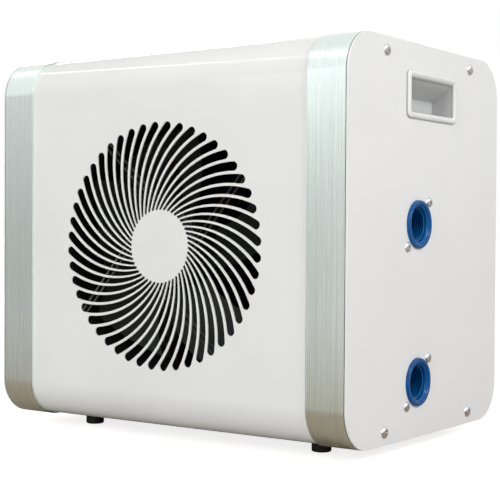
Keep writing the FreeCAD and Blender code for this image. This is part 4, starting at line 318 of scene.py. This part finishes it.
FINISHES = {
    # smooth gloss white: thin bright streaks on the bends, with a faint orange peel
    "white_powder_coat": powder_coat(
        "polyester powder coat, signal white", "#e2e3e1", "#e6e7e5", 0.11, 2.6, 0.013
    ),
    # satin white: even and soft, without a mirrored outline
    "grey_white_powder_coat": powder_coat(
        "polyester powder coat, grey white", "#e3e3e3", "#e6e6e6", 0.32
    ),
    # cool pale metal drawn into fine upright hairlines, bright above and warmer near the floor,
    # with a painted seam shadow along its outer edges
    "brushed_aluminium": brushed_anodised(
        "brushed anodised aluminium", "#dce8e5", "#e8f1ee", "#2f312f"
    ),
    # small sharp highlights on round heads
    "polished_screws": bare_metal("polished nickel-plated steel", "#cfd0d1", "#e4e4e5", 0.16),
    # grey of bolts, nuts and plain screws, with a soft broken sheen
    "zinc_steel": bare_metal("zinc-plated steel", "#9b9fa3", "#c0c4c6", 0.3),
    # grey bearing rings, with narrow bright lines
    "bearing_steel": bare_metal("ground bearing steel", "#9c9ea0", "#c4c6c8", 0.2),
    # pale smooth bezel with a soft edge light, a cup behind it darkened by painted shade, and a
    # painted shadow line where the bezel meets the plate
    "grey_white_plastic": grip_plastic(
        "ABS, grey white", "#dcdddd", "#e2e3e3", "#c2c3c3", "#a2a3a3", 0.31
    ),
    # deep saturated blue that shines on its rounded rim
    "blue_plastic": moulded(
        "glass-filled nylon, signal blue", "#004a84", "#00518e", 0.1, gleam=0.25
    ),
    # dull black of the gland and the drain nipple
    "black_nylon": moulded("nylon, black", "#0b0b0c", "#121213", 0.45, gleam=0.25),
    # duller and a little deeper black
    "black_plastic": moulded("polypropylene, black", "#0a0a0b", "#101011", 0.5, gleam=0.25),
    # fan blades: near black, so that they only show as faint paler shapes in the slots
    "grey_plastic": moulded(
        "glass-filled polypropylene, grey", "#0c0d0e", "#131415", 0.55, gleam=0.2
    ),
    # black window with a clear, mirror-like gloss
    "smoked_acrylic": moulded("smoked acrylic", "#07080a", "#0b0c0f", 0.08, coat=0.5),
    # dark lacquered green
    "green_board": moulded("solder mask on board, green", "#0b3d22", "#12502e", 0.35),
    # matt black without a highlight
    "black_rubber": rubber("moulded rubber, black", "#141414", "#222221"),
    # grey patches that catch the light one by one
    "galvanised": galvanised("galvanised steel", "#8d9295", "#b3b8ba", 9),
    # round wires with one soft line of light along each
    "black_coated_wire": moulded("epoxy-dipped steel wire, black", "#1d1e20", "#26272a", 0.35),
    # smooth black shell with a clear top shine
    "black_enamel": moulded("stoved enamel, black", "#0d0d0e", "#171718", 0.3, coat=0.4),
    # coarse dull grey with a wide sheen
    "cast_aluminium": bare_metal("cast aluminium", "#85888a", "#a4a7a9", 0.45, 3.0),
    # dense dark comb that swallows the light
    "fin_aluminium": moulded(
        "epoxy coat on aluminium foil, black", "#101113", "#191b1d", 0.45, gleam=0.3
    ),
    # warm reddish tubes that dull in long patches
    "copper": bare_metal("drawn copper", "#a3603f", "#c98560", 0.3, 30.0),
    # darker, slightly warm grey tube
    "titanium": bare_metal("drawn titanium", "#7d7c78", "#9b9a95", 0.35, 12.0),
    # even cool grey with a soft sheen
    "stainless": bare_metal("rolled stainless steel", "#a2a5a7", "#c6c8c9", 0.25),
    # dark warm grey of stacked sheets, nearly dull
    "motor_steel": bare_metal("laminated motor steel", "#5c5a56", "#7b7973", 0.45, 4.0),
    # dark grey with a faint wide sheen
    "pump_iron": bare_metal("machined cast iron", "#4e4e4f", "#6b6b6c", 0.5, 3.0),
    # pale yellow metal with a clear sheen
    "valve_brass": bare_metal("machined brass", "#a88a4c", "#cbae6c", 0.28),
    # light grey with one long soft highlight
    "grey_can": bare_metal("drawn aluminium can", "#9a9c9e", "#bcbec0", 0.35, 15.0),
}
SLOT_OF = {row["node"]: row["material_slot"] for row in frame["record"]["subparts"]}
BODY_OF = {
    node: body
    for body, nodes in frame["record"]["behaviour"]["bodies"].items()
    for node in nodes
}
for name, node in frame["nodes"].items():
    node.data.materials.clear()
    node.data.materials.append(FINISHES[SLOT_OF[name]])


# ---------------------------------------------------------------------------------------------
# Tools that make pieces
# ---------------------------------------------------------------------------------------------
def piece_from(mesh_builder, name, nodes, slot=None, smooth=EDGE_TURN, body=None):
    """Turns a bmesh into a finished piece that stands for some nodes and rides with them."""
    mesh = bpy.data.meshes.new(name)
    mesh_builder.to_mesh(mesh)
    mesh_builder.free()
    made = bpy.data.objects.new(name, mesh)
    bpy.context.scene.collection.objects.link(made)
    slot = slot or SLOT_OF[nodes[0]]
    mesh.materials.append(FINISHES[slot])
    mesh.shade_smooth()
    mesh.set_sharp_from_angle(angle=math.radians(smooth))
    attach(made, body or BODY_OF[nodes[0]])
    if nodes:
        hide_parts(*nodes)
    return made


def eased(made, width_mm, segments=2):
    """Small round on every sharp edge, and flat faces that stay flat in the light."""
    bevel = made.modifiers.new("eased edges", "BEVEL")
    bevel.width = width_mm * MM
    bevel.segments = segments
    bevel.limit_method = "ANGLE"
    bevel.angle_limit = math.radians(EDGE_TURN)
    weighted = made.modifiers.new("flat faces", "WEIGHTED_NORMAL")
    weighted.keep_sharp = True
    weighted.weight = 90  # large faces decide


def edged_copy(node, width_mm, flat_from_mm2=None):
    """A merged copy of a CAD node with eased edges. Faces from flat_from_mm2 up stay flat."""
    build = bmesh.new()
    build.from_mesh(frame["nodes"][node].data)
    bmesh.ops.remove_doubles(build, verts=build.verts, dist=TOUCHING)
    bmesh.ops.dissolve_limit(
        build, angle_limit=math.radians(FLAT_TURN), verts=build.verts, edges=build.edges
    )
    made = piece_from(build, f"{node}_piece", [node])
    if flat_from_mm2:
        for face in made.data.polygons:
            face.use_smooth = face.area < flat_from_mm2 * MM ** 2
    if width_mm:
        eased(made, width_mm)


def middle(low, high):
    """Middle of a box."""
    return (Vector(low) + Vector(high)) / 2


def rounded_loop(build, half_y, half_z, radius, x, centre, steps=8):
    """Closed loop of vertices round a rounded rectangle at x, all in mm.

    One more vertex beside each corner keeps the straight sides flat in the light.
    """
    cy, cz = centre
    ring = []
    for number in range(4):
        side_y = 1 if number in (0, 3) else -1
        side_z = 1 if number in (0, 1) else -1
        spots = [(90 * step / steps, 0) for step in range(steps + 1)]
        for turn, beyond in [(0, -BESIDE_CORNER), *spots, (90, BESIDE_CORNER)]:
            angle = math.radians(90 * number + turn)
            y = cy + side_y * (half_y - radius) + radius * math.cos(angle)
            z = cz + side_z * (half_z - radius) + radius * math.sin(angle)
            y -= beyond * math.sin(angle)
            z += beyond * math.cos(angle)
            ring.append(build.verts.new((x * MM, y * MM, z * MM)))
    return ring


def lofted(name, loops, nodes, centre):
    """Closed skin through rounded rectangles of (x, half_y, half_z, radius, z shift) in mm."""
    build = bmesh.new()
    made = []
    for x, half_y, half_z, radius, shift in loops:
        spot = (centre[0], centre[1] + shift)
        made.append(rounded_loop(build, half_y, half_z, radius, x, spot))
    for near, far in zip(made, made[1:]):
        for number in range(len(near)):
            build.faces.new((near[number - 1], near[number], far[number], far[number - 1]))
    build.faces.new(made[0])
    build.faces.new(made[-1])
    bmesh.ops.recalc_face_normals(build, faces=build.faces)
    piece_from(build, name, nodes)


# ---------------------------------------------------------------------------------------------
# Cabinet: bands, plates and cover
# ---------------------------------------------------------------------------------------------
# the solids of these nodes have the real shape already, and most of them get eased edges
edged_copy("wrap_cover", 0.35)
for side in ("left", "right"):
    edged_copy(f"end_ring_{side}", 0.5)
    edged_copy(f"end_plate_{side}", 0.7, flat_from_mm2=1000)
edged_copy("rear_panel", 0.3)
for node in (
    "cable_gland",
    "drain_nipple",
    "fan_ring",
    "fan_impeller",
    "fan_motor_stator",
    "fan_motor_rotor",
    "display_housing",
    "display_panel",
):
    edged_copy(node, 0.3)
for node in ("motor_support", "rear_guard", "foot_screws", "fan_nuts"):
    edged_copy(node, 0)


def build_handle(side):
    """Grip with a pillowed bezel round a cup whose roof slopes down to its back."""
    low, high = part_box(f"handle_cup_{side}")
    sign = 1 if side == "right" else -1
    face = max(abs(low.x), abs(high.x)) / MM - HANDLE_RISE
    centre = ((low.y + high.y) / 2 / MM, high.z / MM - HANDLE_HALF_HEIGHT)

    # depth from the plate's face, half width, half height, corner radius, shift of the middle
    outside = [
        (-CUP_DEPTH - 2.0, 47.0, CUP_BACK + 0.5, 1.5, -CUP_DROP),
        (-CUP_DEPTH - 1.4, 48.5, CUP_BACK + 2.0, 2.0, -CUP_DROP),
        (-0.1, 48.5, 19.4, 3.0, 0),
        (0.0, 53.6, 23.6, 5.8, 0),
        (0.4, 54.0, 24.0, 6.0, 0),
        (1.4, 54.0, 24.0, 6.0, 0),
        (2.4, 53.6, 23.6, 5.8, 0),
        (3.1, 52.8, 22.8, 5.4, 0),
        (3.5, 51.3, 21.4, 4.8, 0),
        (3.5, 50.0, 20.3, 4.2, 0),
        (3.1, 48.6, 19.1, 3.6, 0),
        (2.3, 47.4, 18.1, 3.2, -0.1),
        (1.2, 46.7, 17.3, 2.6, -0.5),
    ]
    inside = []
    for share in (0, 0.3, 0.6, 0.85, 0.97, 1.0):
        # the cup's walls run straight from the bezel's face to its back
        along = (HANDLE_RISE + CUP_DEPTH * share) / (HANDLE_RISE + CUP_DEPTH)
        half_z = MOUTH_HALF_HEIGHT + (CUP_BACK - MOUTH_HALF_HEIGHT) * along
        back = -CUP_DEPTH * share
        inside.append((back, MOUTH_HALF_WIDTH, half_z, MOUTH_CORNER, -CUP_DROP * along))
    loops = [(sign * (face + depth), *rest) for depth, *rest in outside + inside]
    lofted(f"handle_{side}_piece", loops, [f"handle_cup_{side}"], centre)


for side in ("left", "right"):
    build_handle(side)


# ---------------------------------------------------------------------------------------------
# Fittings: water ports, screws and feet
# ---------------------------------------------------------------------------------------------
def build_port(port):
    """Moulded socket with a rolled rim, a stepped mouth and a thread inside."""
    node = f"port_{port}"
    low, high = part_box(node)
    centre = middle(low, high)
    centre.x = high.x - PORT_RISE * MM
    profile = [  # radius, and height above the plate's face
        (13.0, -24.0),
        (21.5, -24.0),
        (21.5, -8.0),
        (29.0, -8.0),
        (29.0, -2.0),
        (24.5, -2.0),
        (24.5, 2.2),
        (24.3, 2.75),
        (23.8, 3.1),
        (23.1, 3.2),
        (21.2, 3.2),
        (20.6, 3.0),
        (20.2, 2.5),
        (20.0, 1.7),
        (19.6, 1.2),
        (18.9, 1.0),
        (18.5, 0.7),
        (18.2, 0.0),
        (17.9, -0.6),
        (17.9, -19.0),
        (13.0, -19.0),
        (13.0, -24.0),
    ]
    build = bmesh.new()
    spun(build, profile, 72)
    steps = 48
    tooth = [(18.1, 0.0), (18.1, 1.9), (16.7, 1.1), (16.7, 0.8)]
    ring = [build.verts.new((r * MM, 0, (h - THREAD_START) * MM)) for r, h in tooth]
    edges = [build.edges.new((a, b)) for a, b in zip(ring, ring[1:] + ring[:1])]
    bmesh.ops.spin(
        build,
        geom=ring + edges,
        cent=(0, 0, 0),
        axis=(0, 0, 1),
        dvec=(0, 0, THREAD_PITCH * MM / steps),
        angle=math.tau * THREAD_TURNS,
        steps=steps * THREAD_TURNS,
        use_merge=False,
    )
    bmesh.ops.holes_fill(build, edges=[e for e in build.edges if e.is_boundary], sides=4)
    for angle in (45, 225):
        lobe(build, angle)
    bmesh.ops.recalc_face_normals(build, faces=build.faces)
    aimed(build, centre, (1, 0, 0))
    piece_from(build, f"{node}_piece", [node], smooth=40)


def lobe(build, angle):
    """Ear of the flange that takes a screw, behind the plate."""
    made = bmesh.ops.create_cone(
        build,
        cap_ends=True,
        segments=32,
        radius1=PORT_EAR_RADIUS * MM,
        radius2=PORT_EAR_RADIUS * MM,
        depth=PORT_EAR_GAUGE * MM,
    )
    turn = math.radians(angle)
    reach = PORT_SCREW_CIRCLE * MM
    # the port's local X and Y lie along the cabinet's -Z and Y once it is aimed along X
    shift = (-reach * math.sin(turn), reach * math.cos(turn), -PORT_EAR_DEPTH * MM)
    bmesh.ops.translate(build, verts=made["verts"], vec=shift)


def spun(build, profile, steps):
    """Adds the surface that a profile of (radius, height) in mm makes round Z."""
    spots = [build.verts.new((r * MM, 0, h * MM)) for r, h in profile]
    edges = [build.edges.new((a, b)) for a, b in zip(spots, spots[1:])]
    bmesh.ops.spin(
        build,
        geom=spots + edges,
        cent=(0, 0, 0),
        axis=(0, 0, 1),
        angle=math.tau,
        steps=steps,
        use_merge=True,
    )
    bmesh.ops.remove_doubles(build, verts=build.verts, dist=TOUCHING)


def turned_to(axis):
    """Turn that takes Z to an axis."""
    return Vector((0, 0, 1)).rotation_difference(Vector(axis)).to_matrix().to_4x4()


def aimed(build, centre, axis):
    """Turns what was made along Z to an axis and moves it to a point."""
    move = Matrix.Translation(centre) @ turned_to(axis)
    bmesh.ops.transform(build, matrix=move, verts=build.verts)


def screw_mesh(radius, rise, shank, length):
    """Pan-head screw along Z with a cross recess, its underside at zero."""
    build = bmesh.new()
    profile = [  # radius, and height above the underside of the head
        (0, -length),
        (shank * 0.8, -length),
        (shank, -length + 0.6),
        (shank, 0),
        (radius * 0.94, 0),
        (radius, 0.12 * rise),
        (radius * 0.985, 0.34 * rise),
        (radius * 0.9, 0.62 * rise),
        (radius * 0.72, 0.85 * rise),
        (radius * 0.45, 0.97 * rise),
        (0, rise),
    ]
    spun(build, profile, 40)
    bmesh.ops.recalc_face_normals(build, faces=build.faces)
    solid = bpy.data.meshes.new("screw blank")
    build.to_mesh(solid)
    build.free()
    cross = bmesh.new()
    long, wide, tall, taper = radius * 1.05, radius * 0.22, rise * 1.2, 0.45
    for size in ((long, wide, tall), (wide, long, tall)):
        arm = bmesh.ops.create_cube(cross, size=1.0)["verts"]
        bmesh.ops.scale(cross, verts=arm, vec=[c * MM for c in size])
        for vert in arm:
            if vert.co.z < 0:
                vert.co.x *= taper
                vert.co.y *= taper
        bmesh.ops.translate(cross, verts=arm, vec=(0, 0, rise * 0.95 * MM))
    tool = bpy.data.meshes.new("cross recess")
    cross.to_mesh(tool)
    cross.free()
    blank = bpy.data.objects.new("screw blank", solid)
    cutter = bpy.data.objects.new("cross recess", tool)
    for part in (blank, cutter):
        bpy.context.scene.collection.objects.link(part)
    cut = blank.modifiers.new("recess", "BOOLEAN")
    cut.operation = "DIFFERENCE"
    cut.object = cutter
    cut.use_self = True
    graph = bpy.context.evaluated_depsgraph_get()
    made = bpy.data.meshes.new_from_object(blank.evaluated_get(graph))
    for part in (blank, cutter):
        bpy.data.objects.remove(part)
    return made


def placed_screws(node, mesh, spots):
    """One piece with a copy of the screw at each (point, direction, quarter turn)."""
    build = bmesh.new()
    for point, axis, spin in spots:
        copy = mesh.copy()
        own = Matrix.Rotation(math.radians(spin), 4, "Z")
        copy.transform(Matrix.Translation(point) @ turned_to(axis) @ own)
        build.from_mesh(copy)
        bpy.data.meshes.remove(copy)
    piece_from(build, f"{node}_piece", [node], smooth=30)


def loose_boxes(node):
    """Low and high corners of the box round each separate solid of a CAD node."""
    build = bmesh.new()
    build.from_mesh(frame["nodes"][node].data)
    bmesh.ops.remove_doubles(build, verts=build.verts, dist=TOUCHING)
    left = set(build.verts)
    boxes = []
    while left:
        front = [left.pop()]
        solid = []
        while front:
            vert = front.pop()
            solid.append(vert.co.copy())
            for edge in vert.link_edges:
                other = edge.other_vert(vert)
                if other in left:
                    left.remove(other)
                    front.append(other)
        corners = [[pick(spot[n] for spot in solid) for n in range(3)] for pick in (min, max)]
        boxes.append([Vector(corner) for corner in corners])
    build.free()
    return boxes


def build_screws(node, radius, rise, shank, along):
    """A domed screw in place of each plain one, its head away from the cabinet's middle.

    No two stop at the same turn, as real screws don't.
    """
    spots = []
    length = 0
    for low, high in sorted(loose_boxes(node), key=lambda box: tuple(box[0])):
        centre = middle(low, high)
        sign = 1 if centre[along] > 0 else -1
        length = (high[along] - low[along]) / MM - rise
        axis = [0, 0, 0]
        axis[along] = sign
        centre[along] = (high if sign > 0 else low)[along] - sign * rise * MM
        spots.append((centre, axis, FIRST_SCREW + NEXT_SCREW * len(spots)))
    placed_screws(node, screw_mesh(radius, rise, shank, length), spots)


def build_foot(corner):
    """Rubber foot with a rounded tread and a wider band under the cover."""
    node = f"foot_{corner}"
    low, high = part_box(node)
    top = (high.z - low.z) / MM
    build = bmesh.new()
    profile = [  # radius, and height above the floor
        (0, 0.6),
        (6.5, 0.6),
        (7.2, 0.1),
        (8.8, 0.0),
        (9.7, 0.5),
        (10.1, 1.4),
        (10.2, top - 3.4),
        (10.7, top - 3.0),
        (11.0, top - 2.5),
        (11.0, top),
        (0, top),
    ]
    spun(build, profile, 48)
    bmesh.ops.recalc_face_normals(build, faces=build.faces)
    centre = middle(low, high)
    centre.z = low.z
    aimed(build, centre, (0, 0, 1))
    piece_from(build, f"{node}_piece", [node])


def build_button(name, symbol):
    """Round key with a soft edge and a raised symbol, given as outlines in mm."""
    node = f"button_{name}"
    low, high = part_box(node)
    body = bmesh.new()
    body.from_mesh(frame["nodes"][node].data)
    bmesh.ops.remove_doubles(body, verts=body.verts, dist=TOUCHING)
    for vert in body.verts:
        # the top face sinks, so that the symbol ends at the key's full height
        if vert.co.z > high.z - 0.01 * MM:
            vert.co.z -= SYMBOL_RISE * MM
    bmesh.ops.dissolve_limit(
        body, angle_limit=math.radians(FLAT_TURN), verts=body.verts, edges=body.edges
    )
    made = piece_from(body, f"{node}_piece", [node])
    eased(made, 0.35, segments=3)
    marks = bmesh.new()
    centre = middle(low, high)
    for outline in symbol:
        spots = [
            marks.verts.new((centre.x + x * MM, centre.y + y * MM, high.z - 2 * SYMBOL_RISE * MM))
            for x, y in outline
        ]
        face = marks.faces.new(spots)
        raised = bmesh.ops.extrude_face_region(marks, geom=[face])["geom"]
        for vert in (item for item in raised if isinstance(item, bmesh.types.BMVert)):
            vert.co.z = high.z
    bmesh.ops.recalc_face_normals(marks, faces=marks.faces)
    piece_from(marks, f"{node}_symbol", [], slot="black_plastic", body=BODY_OF[node])


def arc_strip(inner, outer, start, end, steps=24):
    """Outline of a bent strip between two radii and two angles in degrees."""
    turns = [math.radians(start + (end - start) * n / steps) for n in range(steps + 1)]
    out = [(outer * math.cos(turn), outer * math.sin(turn)) for turn in turns]
    back = [(inner * math.cos(turn), inner * math.sin(turn)) for turn in reversed(turns)]
    return out + back


SYMBOLS = {
    "down": [[(-2.2, 1.3), (0, -2.2), (2.2, 1.3)]],
    "up": [[(-2.2, -1.3), (2.2, -1.3), (0, 2.2)]],
    "power": [
        arc_strip(1.8, 2.4, 125, 415),
        [(-0.3, 0.6), (0.3, 0.6), (0.3, 3.0), (-0.3, 3.0)],
    ],
}
for name, symbol in SYMBOLS.items():
    build_button(name, symbol)
for port in ("outlet", "inlet"):
    build_port(port)
build_screws("end_plate_screws", radius=6.0, rise=3.0, shank=2.5, along=0)
build_screws("port_screws", radius=5.25, rise=2.6, shank=2.0, along=0)
build_screws("panel_screws", radius=4.0, rise=2.2, shank=2.0, along=1)
for corner in ("front_left", "front_right", "rear_left", "rear_right"):
    build_foot(corner)


# ---------------------------------------------------------------------------------------------
# Air coil
# ---------------------------------------------------------------------------------------------
def build_fins():
    """Close-set foil fins and two tube sheets. Corrugated, so no light comes straight through."""
    low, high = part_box("evaporator_fins")
    inset = FIN_INSET * MM
    count = round((high.x - low.x) / (FIN_PITCH * MM))
    build = bmesh.new()
    for number in range(1, count):
        x = low.x + (high.x - low.x) * number / count
        fin = bmesh.ops.create_grid(build, x_segments=1, y_segments=FIN_FACETS, size=0.5)
        for vert in fin["verts"]:
            share = vert.co.y + 0.5
            wave = FIN_WAVE * MM * math.cos(math.tau * FIN_WAVES * share)
            tall = low.z + (high.z - low.z) * (vert.co.x + 0.5)
            deep = low.y + inset + (high.y - low.y - 2 * inset) * share
            vert.co = (x + wave, deep, tall)
    bmesh.ops.solidify(build, geom=build.faces[:], thickness=FIN_GAUGE * MM)
    thick = TUBE_SHEET * MM
    for x in (low.x, high.x - thick):
        sheet = bmesh.ops.create_cube(build, size=1.0)["verts"]
        bmesh.ops.scale(build, verts=sheet, vec=(thick, high.y - low.y, high.z - low.z))
        spot = (x + thick / 2, (low.y + high.y) / 2, (low.z + high.z) / 2)
        bmesh.ops.translate(build, verts=sheet, vec=spot)
    bmesh.ops.recalc_face_normals(build, faces=build.faces)
    piece_from(build, "evaporator_fins_piece", ["evaporator_fins"], smooth=30)


build_fins()

# ---------------------------------------------------------------------------------------------
# Camera, lights and floor
# ---------------------------------------------------------------------------------------------
AZIMUTH, ELEVATION, ROLL = 0.6184, 0.0150, 0.0056            # radians
DISTANCE, SIDE_SHIFT, UP_SHIFT = 1.4237, -0.00023, -0.01228  # metres
TARGET_HEIGHT = 0.2128   # metres
LENS = 90.03             # millimetres

WORLD_LEVEL = 0.22       # surroundings, as they light the object
EYE_LEVEL = 0.52         # the same in reflections, at the horizon
SKY_START = 0.3          # height of the direction from which on they are white
FLOOR_COLOUR = "#c6c4c1"
NEAR_FLOOR = "#a39483"   # floor close to the cabinet, in reflections only
FLOOR_REACH = 30.0       # metres, as are the next three
FLOOR_NEAR = 0.3         # where the floor starts to change
FLOOR_MIDDLE = 2.0       # where its reflection has become plain
FLOOR_FAR = 5.0          # where the view of it has become white
FLOOR_GLEAM = 0.18       # added to the far floor in reflections
FLOOR_LIFT = 0.8         # added to the near floor in the view, rising to 1 far away

# place, target, width and height in metres, and power in watts
LAMPS = {
    # broad and even light on the plate with the water ports
    "ports side": ((2.6, -0.45, 1.8), (0.2, 0, 0.3), 1.2, 1.2, 62),
    # the same on the grille
    "grille side": ((0.3, -2.7, 1.4), (0, -0.1, 0.2), 1.2, 1.2, 34),
    # lifts the foot of the cover and the bands
    "low front": ((0.1, -2.5, 0.3), (0, -0.1, 0.15), 1.2, 0.4, 8),
    # rear panel and the other end plate
    "rear": ((-2.3, 2.1, 0.9), (-0.1, 0.1, 0.25), 1.4, 0.9, 58),
    # two thin streaks on the upper bend of the cover
    "high tube": ((-1.2, -1.0, 2.1), (-0.1, -0.1, 0.4), 2.6, 0.05, 3),
    "low tube": ((-1.7, -2.6, 0.95), (-0.1, -0.1, 0.4), 3.0, 0.04, 0.7),
    # sparkle on that bend, beside the band
    "glint": ((-1.6, -2.66, 0.85), (0.13, -0.16, 0.35), 0.4, 0.25, 0.7),
}


def build_camera():
    """Camera a little above the floor, turned towards the ports' side."""
    back = Vector(
        (
            math.sin(AZIMUTH) * math.cos(ELEVATION),
            -math.cos(AZIMUTH) * math.cos(ELEVATION),
            math.sin(ELEVATION),
        )
    )
    right = (-back).cross(Vector((0, 0, 1))).normalized()
    up = right.cross(-back)
    tilted_right = math.cos(ROLL) * right + math.sin(ROLL) * up
    tilted_up = -math.sin(ROLL) * right + math.cos(ROLL) * up
    spot = back * DISTANCE + tilted_right * SIDE_SHIFT + tilted_up * UP_SHIFT
    spot.z += TARGET_HEIGHT
    turn = Matrix((tilted_right, tilted_up, back)).transposed().to_4x4()
    data = bpy.data.cameras.new("camera")
    data.lens = LENS
    data.sensor_width = 36
    data.clip_start = 0.05
    camera = bpy.data.objects.new("camera", data)
    camera.matrix_world = Matrix.Translation(spot) @ turn
    bpy.context.scene.collection.objects.link(camera)
    bpy.context.scene.camera = camera


def soft_box(name, spot, target, width, height, power):
    """White lamp of a width and height in metres, aimed at a point."""
    data = bpy.data.lights.new(name, "AREA")
    data.shape = "RECTANGLE"
    data.size = width
    data.size_y = height
    data.energy = power
    lamp = bpy.data.objects.new(name, data)
    aim = (Vector(target) - Vector(spot)).to_track_quat("-Z", "Y")
    lamp.matrix_world = Matrix.Translation(spot) @ aim.to_matrix().to_4x4()
    bpy.context.scene.collection.objects.link(lamp)


def seen_strength(tree, plain, mirrored, seen):
    """Strength for the light that falls on things, for what reflections show and for the view."""
    path = add(tree, "ShaderNodeLightPath").outputs
    indirect = add(
        tree,
        "ShaderNodeMath",
        {0: path["Is Glossy Ray"], 1: path["Is Transmission Ray"]},
        operation="MAXIMUM",
    )
    reflected = add(
        tree,
        "ShaderNodeMapRange",
        {"Value": indirect.outputs["Value"], "To Min": plain, "To Max": mirrored},
    )
    direct = add(
        tree,
        "ShaderNodeMapRange",
        {"Value": path["Is Camera Ray"], "To Min": reflected.outputs["Result"], "To Max": seen},
    )
    return direct.outputs["Result"]


def mirrored_sky(tree):
    """What reflections show of the surroundings: pale at eye level and white overhead."""
    heading = add(tree, "ShaderNodeTexCoord").outputs["Generated"]
    height = add(tree, "ShaderNodeSeparateXYZ", {"Vector": heading}).outputs["Z"]
    level = add(
        tree,
        "ShaderNodeMapRange",
        {"Value": height, "From Max": SKY_START, "To Min": EYE_LEVEL},
    )
    return level.outputs["Result"]


def build_surroundings():
    """White surroundings: an even light on the object, and a pale field in its reflections."""
    world = bpy.data.worlds.new("studio")
    bpy.context.scene.world = world
    world.use_nodes = True
    tree = world.node_tree
    shell = tree.nodes["Background"]
    shell.inputs["Color"].default_value = (1, 1, 1, 1)
    strength = seen_strength(tree, WORLD_LEVEL, mirrored_sky(tree), 1.0)
    tree.links.new(strength, shell.inputs["Strength"])


def floor_finish():
    """Pale floor that keeps the shadow and turns white far away.

    Reflections see it close by as warmer and darker, which warms the foot of the bands.
    """
    made, tree, shader, where = material("studio floor")
    away = add(tree, "ShaderNodeVectorMath", {0: where}, operation="LENGTH").outputs["Value"]
    far = add(
        tree,
        "ShaderNodeMapRange",
        {"Value": away, "From Min": FLOOR_NEAR, "From Max": FLOOR_FAR},
    ).outputs["Result"]
    beyond = add(
        tree,
        "ShaderNodeMapRange",
        {"Value": away, "From Min": FLOOR_NEAR, "From Max": FLOOR_MIDDLE},
    ).outputs["Result"]
    glossy = add(tree, "ShaderNodeLightPath").outputs["Is Glossy Ray"]
    reflected = add(
        tree,
        "ShaderNodeMix",
        {"Factor": beyond, 6: linear(NEAR_FLOOR), 7: linear(FLOOR_COLOUR)},
        data_type="RGBA",
    ).outputs[2]
    tone = add(
        tree,
        "ShaderNodeMix",
        {"Factor": glossy, 6: linear(FLOOR_COLOUR), 7: reflected},
        data_type="RGBA",
    ).outputs[2]
    tree.links.new(tone, shader.inputs["Base Color"])
    shader.inputs["Roughness"].default_value = 1.0
    shader.inputs["Specular IOR Level"].default_value = 0.0
    shader.inputs["Emission Color"].default_value = (1, 1, 1, 1)
    gleam = add(
        tree,
        "ShaderNodeMath",
        {0: beyond, 1: FLOOR_GLEAM},
        operation="MULTIPLY",
    ).outputs["Value"]
    white = add(
        tree,
        "ShaderNodeMapRange",
        {"Value": far, "To Min": FLOOR_LIFT},
    ).outputs["Result"]
    lift = seen_strength(tree, 0.0, gleam, white)
    tree.links.new(lift, shader.inputs["Emission Strength"])
    return made


def build_floor():
    """One large square under the object."""
    build = bmesh.new()
    bmesh.ops.create_grid(build, x_segments=1, y_segments=1, size=FLOOR_REACH)
    mesh = bpy.data.meshes.new("floor")
    build.to_mesh(mesh)
    build.free()
    mesh.materials.append(floor_finish())
    floor = bpy.data.objects.new("floor", mesh)
    bpy.context.scene.collection.objects.link(floor)


bpy.context.scene.view_settings.view_transform = "Standard"
build_camera()
build_surroundings()
build_floor()
for name, lamp in LAMPS.items():
    soft_box(name, *lamp)
